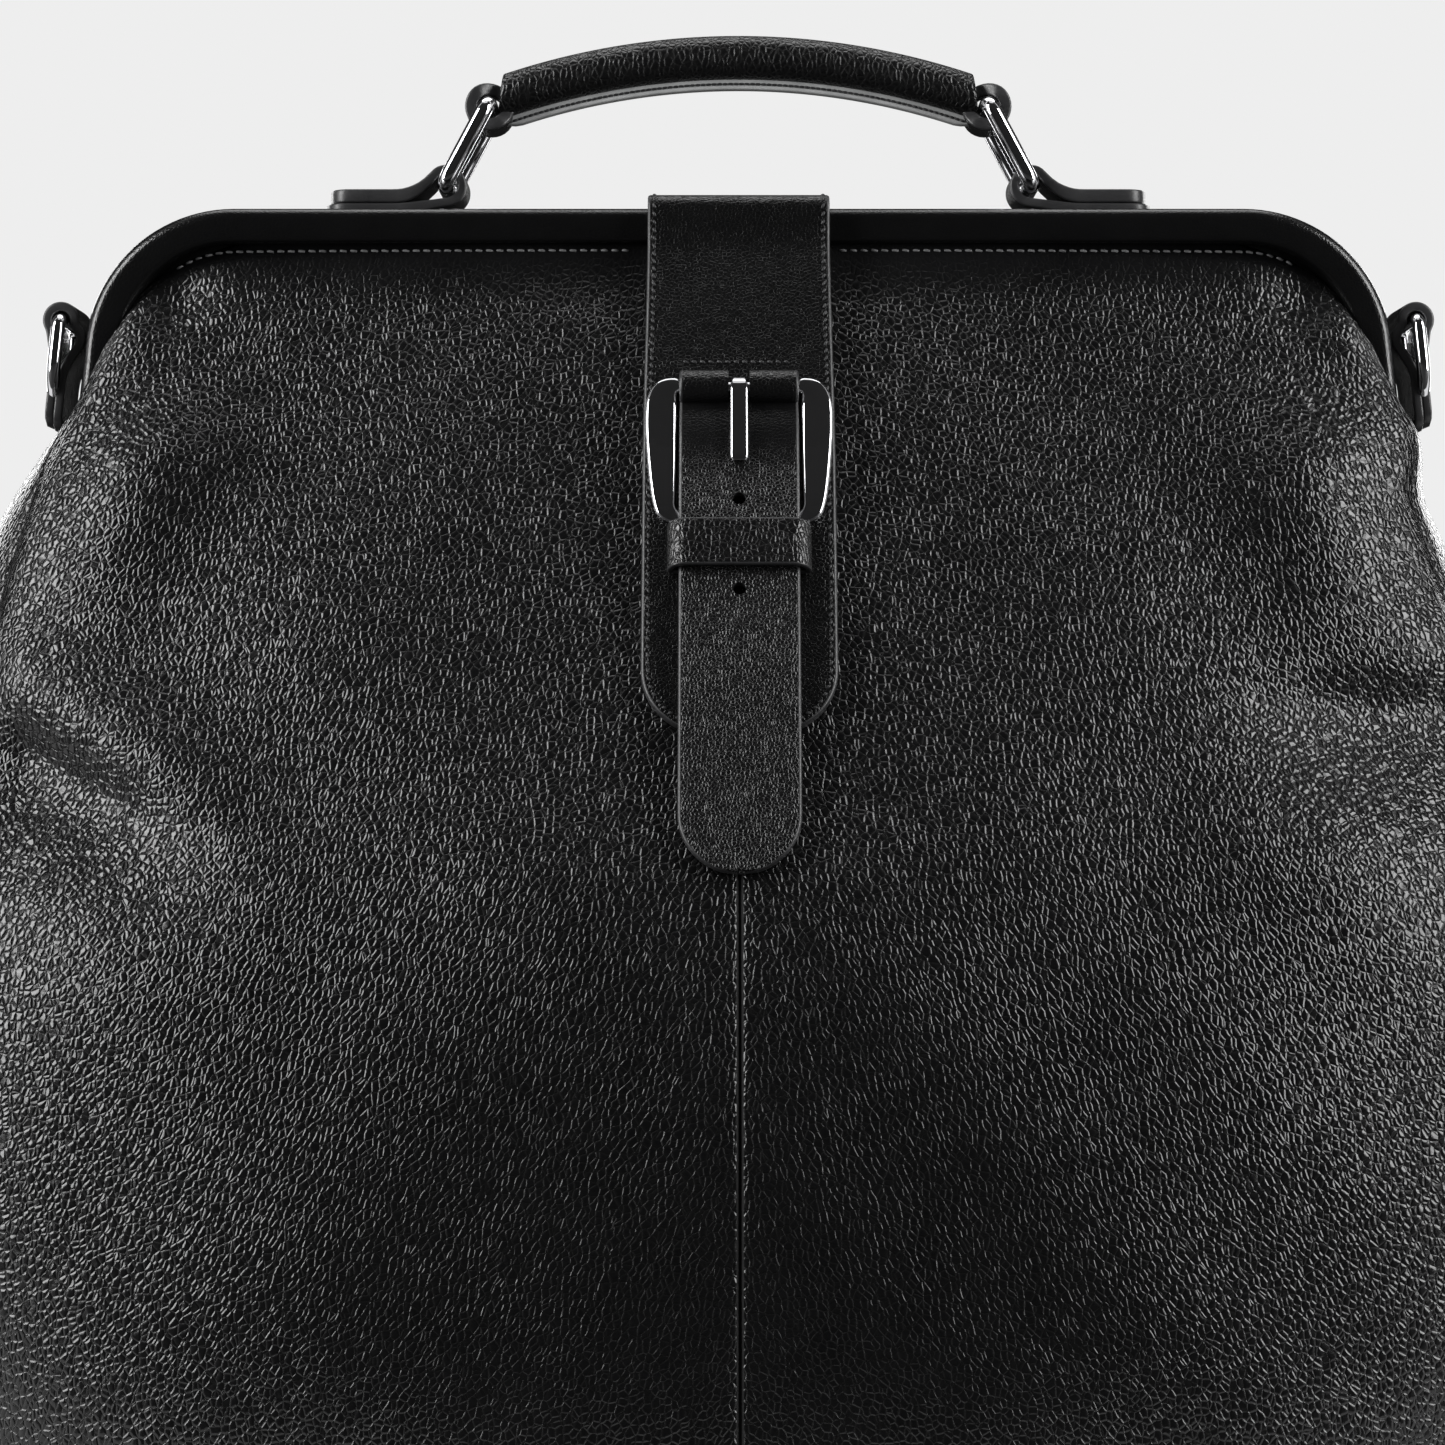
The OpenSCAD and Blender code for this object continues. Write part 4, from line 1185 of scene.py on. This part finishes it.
# %% Buckle roll
BAR_DROP = 47.6
BAR_OUT = STRAP_T + 2.4
ROLL_R = 3.4
ROLL_T = 2.5
roll_mid, roll_face = [], []
for a in np.radians(np.linspace(150, -80, 28)):
    d = OUT * math.cos(a) - DOWN * math.sin(a)
    roll_mid.append(on_strap(0, BAR_OUT, BAR_DROP) + ROLL_R * d)
    roll_face.append(d)
roll = ribbon("buckle_roll", roll_mid, roll_face, X_AXIS, [BILLET_W / 2] * len(roll_mid), ROLL_T,
              [smooth, edge_paint])
SLOT_HALF, SLOT_UP, SLOT_DOWN = 2.75, 5.2, 9.0
slot_outline = ((-SLOT_HALF, -SLOT_UP), (SLOT_HALF, -SLOT_UP),
                (SLOT_HALF, SLOT_DOWN), (-SLOT_HALF, SLOT_DOWN))
slot_cut = [[on_strap(x, out, BAR_DROP + down) for x, down in slot_outline]
            for out in (BAR_OUT - 4, BAR_OUT + 12)]
cut_away(roll, tube("slot_cut", slot_cut, [edge_paint]))
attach(roll, "front_half")
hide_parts("buckle_chape")
row_half = BILLET_W / 2 - 0.5
sewn = [on_strap(x, STRAP_T, BAR_DROP - 8.7) for x in np.linspace(-row_half, row_half, 30)]
roll_row = stitch_row("roll_stitches", sewn, OUT, lean=0.4, **SEWN_BLACK)
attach(roll_row, "front_half")
print("buckle roll made")

# %% [markdown]
# ## The buckle's frame
# The buckle is cast, ground flat on its face and plated, so each rail is a dark mirror
# with two bright edges. A round bar swept along the outline would shine all over. So
# pairs of points, on the outer and the inner edge of the outline, say where the metal
# runs, and a flat-faced section with rounded edges is drawn between each pair.

# %% Buckle frame
EDGE_R = 1.2
FACE, BACK = 7.1, STRAP_T + 0.1
BAR_FACE, BAR_BACK = BAR_OUT + 1.4, BAR_OUT - 1.4
LOW_FACE = STRAP_T + 1.9
RIGHT_HALF = [  # outer x and drop below the bar, inner x and drop, face and back heights
    (0, -1.4, 0, 1.4, BAR_FACE, BAR_BACK), (15.0, -1.4, 15.0, 1.4, BAR_FACE, BAR_BACK),
    (16.2, -2.8, 16.1, 2.0, FACE, BACK), (19.0, -2.6, 16.1, 2.4, FACE, BACK),
    (21.2, -1.7, 16.1, 2.8, FACE, BACK), (22.9, 0.2, 16.1, 3.3, FACE, BACK),
    (23.9, 2.8, 16.1, 4.2, FACE, BACK), (24.4, 6, 16.1, 6, FACE, BACK),
    (24.4, 12, 16.1, 12, FACE, BACK), (24.0, 18, 16.1, 18, FACE, BACK),
    (23.4, 25, 16.2, 25, 6.8, BACK), (22.7, 30.5, 16.3, 30.5, 6.5, BACK),
    (22.0, 33.6, 16.4, 32.6, 6.3, BACK), (21.2, 35.6, 16.2, 33.6, 6.1, BACK),
    (19.8, 37.2, 15.8, 34.1, 5.8, BACK), (17.8, 38.1, 15.2, 34.3, 5.5, BACK),
    (15.0, 38.2, 14.5, 34.3, LOW_FACE, BACK), (0, 38.2, 0, 34.3, LOW_FACE, BACK)]


def flat_section(ox, od, ix, i_d, face, back):
    """Points round a flat-faced bar between an outer and an inner point of the outline."""
    wide = math.dist((ox, od), (ix, i_d))
    e = min(EDGE_R, 0.38 * wide, face - back - 0.2)
    turns = np.radians(np.linspace(0, 90, 6))
    half = [(0, back)] + [(e - e * math.cos(a), face - e + e * math.sin(a)) for a in turns]
    ring = half + [(wide / 2, face + 0.1)] + [(wide - w, out) for w, out in half[::-1]]
    return [on_strap(ix + (ox - ix) * w / wide, out, BAR_DROP + i_d + (od - i_d) * w / wide)
            for w, out in ring]


def closed_outline(pairs, steps=6, rounds=6):
    """The right half and its mirror image as one closed row of pairs, evened out."""
    right = np.array(pairs, float)
    at = np.linspace(0, len(right) - 1, (len(right) - 1) * steps + 1)
    right = np.stack([np.interp(at, np.arange(len(right)), column) for column in right.T], axis=1)
    row = np.concatenate([right, right[-2:0:-1] * (-1, 1, -1, 1, 1, 1)])
    for _ in range(rounds):
        row = (np.roll(row, 1, axis=0) + 2 * row + np.roll(row, -1, axis=0)) / 4
    return row


sections = [flat_section(*pair) for pair in closed_outline(RIGHT_HALF)]
buckle = tube("buckle_cast_frame", sections, [chrome], closed=True)
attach(buckle, "front_half")
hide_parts("buckle_frame")
print("buckle:", len(buckle.data.polygons), "faces")

# %% [markdown]
# ## The prong
# The prong is one bar. Its thin end is bent into an eye round the buckle's top bar, small
# enough to turn there without touching the strap, and the rest lies flat on the billet.

# %% Prong
PRONG_HALF_W = 2.35
PRONG_T = 1.7
EYE_R = 2.0
EYE_THIN = 0.35
EYE_WIDE = 0.75
EYE_TURN = np.radians(np.linspace(-160, 20, 14))
prong_path = [(BAR_OUT + EYE_R * math.sin(a), -EYE_R * math.cos(a)) for a in EYE_TURN]
prong_path += [(7.4, -1.75), (8.4, -1.25), (9.0, -0.3), (9.25, 1.0), (9.3, 2.4)]
prong_path += [(9.3, d) for d in np.linspace(3.5, 20.6, 16)] + [(9.2, 21.5), (8.95, 22.1)]
prong_path = np.array(prong_path)
bent = len(EYE_TURN) - 1
prong_thick = np.interp(np.arange(len(prong_path)), (0, bent, bent + 4), (EYE_THIN, EYE_THIN, 1.0))
prong_thick[-2:] *= (0.93, 0.75)
prong_ahead = np.gradient(prong_path, axis=0)
prong_ahead /= np.linalg.norm(prong_ahead, axis=1)[:, None]
prong_bar = rounded_bar(-PRONG_T / 2, PRONG_T / 2, -PRONG_HALF_W, PRONG_HALF_W, (0.3, 0.8, 0.8, 0.3))
prong_rings = []
for (out, d), (to_out, to_d), thick in zip(prong_path, prong_ahead, prong_thick):
    wide = max(thick, EYE_WIDE)
    prong_rings.append([on_strap(x * wide, out + n * thick * to_d, BAR_DROP + d - n * thick * to_out)
                        for n, x in prong_bar])
prong = tube("buckle_prong_bar", prong_rings, [chrome])
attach(prong, "prong")
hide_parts("buckle_prong")
print("prong:", len(prong.data.polygons), "faces")

# %% [markdown]
# ## The keeper
# The keeper is a closed band of thinner leather round the billet. It bows out over the
# billet and turns sharply at its ends, which is where it shines.

# %% Keeper
KEEPER_W = 37.0
KEEPER_L = 13.0
KEEPER_T = 1.5
KEEPER_DROP = 86.3
KEEPER_IN = STRAP_T + 0.2
KEEPER_HIGH = KEEPER_IN + BILLET_T + 2 * KEEPER_T + 1.0


def keeper_loop():
    """The middle line of the keeper's band in x and out, with the outward direction."""
    section = rounded_bar(KEEPER_IN + KEEPER_T / 2, KEEPER_HIGH - KEEPER_T / 2,
                          -KEEPER_W / 2 + KEEPER_T / 2, KEEPER_W / 2 - KEEPER_T / 2, (0.8, 4.2, 4.2, 0.8), 8)
    ring = []
    for out, x in section:
        bow = 0.7 * (1 - (2 * x / KEEPER_W) ** 2) if out > BILLET_OUT + BILLET_T / 2 else 0
        ring.append((x, out + bow))
    fill = []
    for p, q in zip(ring, ring[1:] + ring[:1]):
        steps = max(1, int(math.dist(p, q) / 2.0))
        fill += [(p[0] + (q[0] - p[0]) * k / steps, p[1] + (q[1] - p[1]) * k / steps) for k in range(steps)]
    return np.array(fill)


loop = keeper_loop()
ahead = np.roll(loop, -1, axis=0) - np.roll(loop, 1, axis=0)
ahead /= np.linalg.norm(ahead, axis=1)[:, None]
turn_out = np.stack([ahead[:, 1], -ahead[:, 0]], axis=1)
turn_out *= np.sign(((loop - loop.mean(axis=0)) * turn_out).sum(axis=1))[:, None]
k_mid = [on_strap(x, out, KEEPER_DROP + KEEPER_L / 2) for x, out in loop]
k_face = [X_AXIS * n[0] + OUT * n[1] for n in turn_out]
keeper = ribbon("keeper", k_mid, k_face, DOWN, [KEEPER_L / 2] * len(loop), KEEPER_T,
                [keeper_leather, edge_paint], edge_r=0.5, closed=True)
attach(keeper, "keeper")
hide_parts("strap_keeper")
print("keeper:", len(loop), "stations")

# %% [markdown]
# ## The handle
# The grip is leather wrapped round a core and sewn underneath, where its two edges
# stand out as a welt. It's a tube along an arc, with a narrow fin below.

# %% Grip
ARCH_R = 199.0
GRIP_HALF = 62.5
GRIP_R = 6.2
HANDLE_Y = HALF_D / 2 + 0.15
ARCH_Z = TOP + 44.4 - ARCH_R
GRIP_ANGLE = math.asin(GRIP_HALF / ARCH_R)
END_SLANT = 0.46


def arch_frame(a):
    """Centre, outward and along directions on the handle's arch."""
    up = np.array([math.sin(a), 0.0, math.cos(a)])
    return np.array([0.0, HANDLE_Y, ARCH_Z]) + ARCH_R * up, up, np.array([math.cos(a), 0.0, -math.sin(a)])


def grip_rings():
    """Rings of the grip, slightly fuller in the middle, with ends cut nearly upright."""
    rings = []
    ends = [(-1.0, 0.93), (-0.997, 0.98), (-0.992, 1.0)]
    places = ends + [(v, 1.0) for v in np.linspace(-0.97, 0.97, 60)] + [(-v, f) for v, f in ends[::-1]]
    for v, full in places:
        c, up, along = arch_frame(v * GRIP_ANGLE)
        r = GRIP_R * full * (0.97 + 0.03 * math.cos(v * 1.3))
        slant = END_SLANT * ease(abs(v), 0.8, 1.0) * math.copysign(1, v)
        ring = []
        for q in np.linspace(0, 2 * math.pi, 40, endpoint=False):
            spoke = up * math.sin(q) + Y_AXIS * math.cos(q) + along * slant * (1 - math.sin(q))
            ring.append(c + r * spoke)
        rings.append(ring)
    return rings


grip = tube("grip_leather_wrap", grip_rings(), [grip_leather])
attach(grip, "grip")
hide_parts("handle_grip")
WELT = 2.6
WELT_T = 3.2
spots = np.linspace(-1.05, 1.05, 68)
welt_mid = [arch_frame(v * GRIP_ANGLE)[0] - arch_frame(v * GRIP_ANGLE)[1] * (GRIP_R + 0.5) for v in spots]
welt_wide = np.array([arch_frame(v * GRIP_ANGLE)[1] for v in spots])
welt_half = [WELT * min(0.75, 0.3 + 9 * (1.055 - abs(v))) for v in spots]
# The welt's colour is a painted reflection of the pale floor below it.
welt = ribbon("grip_welt", welt_mid, [-Y_AXIS] * len(spots), welt_wide, welt_half, WELT_T,
              [painted_welt_reflection, painted_welt_reflection], edge_r=0.5)
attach(welt, "grip")
welt_line = [p - u * 0.5 + np.array([0, -1.62, 0]) for p, u in zip(welt_mid, welt_wide)]
welt_row = stitch_row("welt_stitches", welt_line, -Y_AXIS, pitch=1.5, share=0.97, lean=0.0,
                      colour=edge_paint)
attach(welt_row, "grip")
print("grip made")

# %% [markdown]
# ## Loops and tabs of the handle
# A leather loop at each end of the grip holds a wire link, and the link's other end is
# held by a tab: a strip folded round the wire, laid double on the frame and riveted.

# %% Handle loops and tabs
LINK_OUT = 79.6
LINK_LOW = 8.5
LINK_PITCH = 24.9
LINK_LEAN = math.radians(28.2)
TAB_W = 15.5
TAB_END = 112.6
LOOP_R = 4.5
LOOP_T = 2.5
TAB_LAYER = 3.7
GRIP_LOOP_R = 5.0
GRIP_LOOP_T = 3.4
link_low = np.array([LINK_OUT, TOP + LINK_LOW])
link_high = link_low + LINK_PITCH * np.array([-math.sin(LINK_LEAN), math.cos(LINK_LEAN)])


def flat_ribbon(name, path, side, half_width, thickness, materials, y=HANDLE_Y, ends=0.0, thin=None):
    """A strap whose path lies in the handle's plane, given as x and z on the right."""
    path = np.asarray(path, float)
    ahead = np.gradient(path, axis=0)
    ahead /= np.linalg.norm(ahead, axis=1)[:, None]
    run = np.concatenate([[0], np.cumsum(np.linalg.norm(np.diff(path, axis=0), axis=1))])
    mid = [(side * x, y, z) for x, z in path]
    face = [(side * -a[1], 0, a[0]) for a in ahead]
    halves = np.broadcast_to(half_width, len(path))
    wide = [end_width(2 * h, ends, min(s, run[-1] - s)) if ends else h for h, s in zip(halves, run)]
    return ribbon(name, mid, face, Y_AXIS, wide, thickness, materials, edge_r=0.6, columns=6, thin=thin)


def grip_loop_path():
    """From inside the grip's end, round the link's upper wire and back."""
    along = arch_frame(GRIP_ANGLE)[2][[0, 2]]
    back = math.atan2(-along[1], -along[0])
    first = math.radians(20)
    ring = [link_high + GRIP_LOOP_R * np.array([math.cos(back - a), math.sin(back - a)])
            for a in np.linspace(first, 2 * math.pi - first, 30)]
    tucked = (3.0, 1.5)
    return ([ring[0] - along * v for v in tucked] + ring + [ring[-1] - along * v for v in tucked[::-1]])


def tab_flat(x, start=3):
    """0 beside the wire, 1 where the tab lies flat on the frame."""
    return ease(x, LINK_OUT + start, LINK_OUT + 12)


def tab_path():
    """From the tab's outer end, under the link's lower wire, over it and back on top."""
    low, high = TOP + 0.1 + TAB_LAYER / 2, TOP + 0.2 + TAB_LAYER * 1.5
    path = [(x, low + 1.6 * (1 - tab_flat(x))) for x in np.linspace(TAB_END, LINK_OUT + 3, 16)]
    for a in np.radians(np.linspace(-85, -310, 26)):
        path.append(link_low + LOOP_R * np.array([math.cos(a), math.sin(a)]))
    path += [(x, high + 3.6 * (1 - tab_flat(x))) for x in np.linspace(LINK_OUT + 5, TAB_END - 1.2, 18)]
    return path


def smooth_path(points, rounds=3):
    """Evens out a path's corners, with its ends kept."""
    p = np.asarray(points, float)
    for _ in range(rounds):
        p[1:-1] = (p[:-2] + 2 * p[1:-1] + p[2:]) / 4
    return p


grip_end = arch_frame(GRIP_ANGLE)[0][[0, 2]]
for side, hand in ((-1, "left"), (1, "right")):
    path = smooth_path(grip_loop_path(), 1)
    halves = [2.8 + 3.4 * ease(math.dist(p, grip_end), 3, 9) for p in path]
    loop_strap = flat_ribbon("grip_loop_" + hand, path, side, halves, GRIP_LOOP_T, [smooth, edge_paint])
    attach(loop_strap, "grip")
    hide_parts("handle_loop_" + hand)
    path = smooth_path(tab_path(), 2)
    thinned = LOOP_T / TAB_LAYER
    full = [thinned + (1 - thinned) * tab_flat(x, 2) for x, z in path]
    tab = flat_ribbon("handle_tab_leather_" + hand, path, side, TAB_W / 2, TAB_LAYER,
                      [smooth, edge_paint], ends=6.0, thin=full)
    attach(tab, "root")
    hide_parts("handle_tab_" + hand)
print("handle loops and tabs made")

# %% [markdown]
# ## Tabs of the D rings
# Each ring hangs from a strip of leather that is folded round the ring's bar and laid
# down the outside of the frame's leg.

# %% D ring tabs
RING_SEAT = TOP - 50.0
RING_OUT = 8.0
RING_UP = 20.0
RING_TAB_W = 20.0
RING_LOOP_R = 3.7
RING_TAB_T = 2.5


def on_leg(out, up):
    """A point beside the right-hand leg, in x and z."""
    x = leg_x(RING_SEAT, 0)
    return np.array([x + out * math.cos(SPLAY) - up * math.sin(SPLAY),
                     RING_SEAT + out * math.sin(SPLAY) + up * math.cos(SPLAY)])


def ring_tab_path():
    """Up the leg, over the ring's bar and down to lie on itself."""
    path = [on_leg(1.6 + 4.6 * ease(-u, -17, -5), u) for u in np.linspace(-9.5, 17, 18)]
    for a in np.radians(np.linspace(200, -50, 28)):
        path.append(on_leg(RING_OUT + RING_LOOP_R * math.cos(a), RING_UP + RING_LOOP_R * math.sin(a)))
    path += [on_leg(8.5 + 1.6 * ease(u, 8, 16), u) for u in np.linspace(15, -8.5, 14)]
    return path


for side, hand in ((-1, "left"), (1, "right")):
    ring_tab = flat_ribbon("d_ring_leather_" + hand, smooth_path(ring_tab_path(), 2), side,
                           RING_TAB_W / 2, RING_TAB_T, [smooth, edge_paint], y=0.0, ends=5.0)
    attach(ring_tab, "root")
    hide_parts("d_ring_tab_" + hand)
print("ring tabs made")

# %% [markdown]
# ## Metal and the hidden parts
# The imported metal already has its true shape, so it keeps its mesh and only gets a
# finish.

# %% Metal finishes
FINISHES = {
    chrome: ("handle_link_left", "handle_link_right", "d_ring_left", "d_ring_right",
             "tab_rivets", "d_ring_rivets", "feet"),
    strip_steel: ("front_frame", "rear_frame", "hinge_pins", "magnet_disc", "magnet_plate"),
    fibre_board: ("base_board", "handle_core"),
}
for material, names in FINISHES.items():
    for name in names:
        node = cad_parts[name]
        node.data.materials.clear()
        node.data.materials.append(material)
print("metal nodes finished:", sum(len(v) for v in FINISHES.values()))
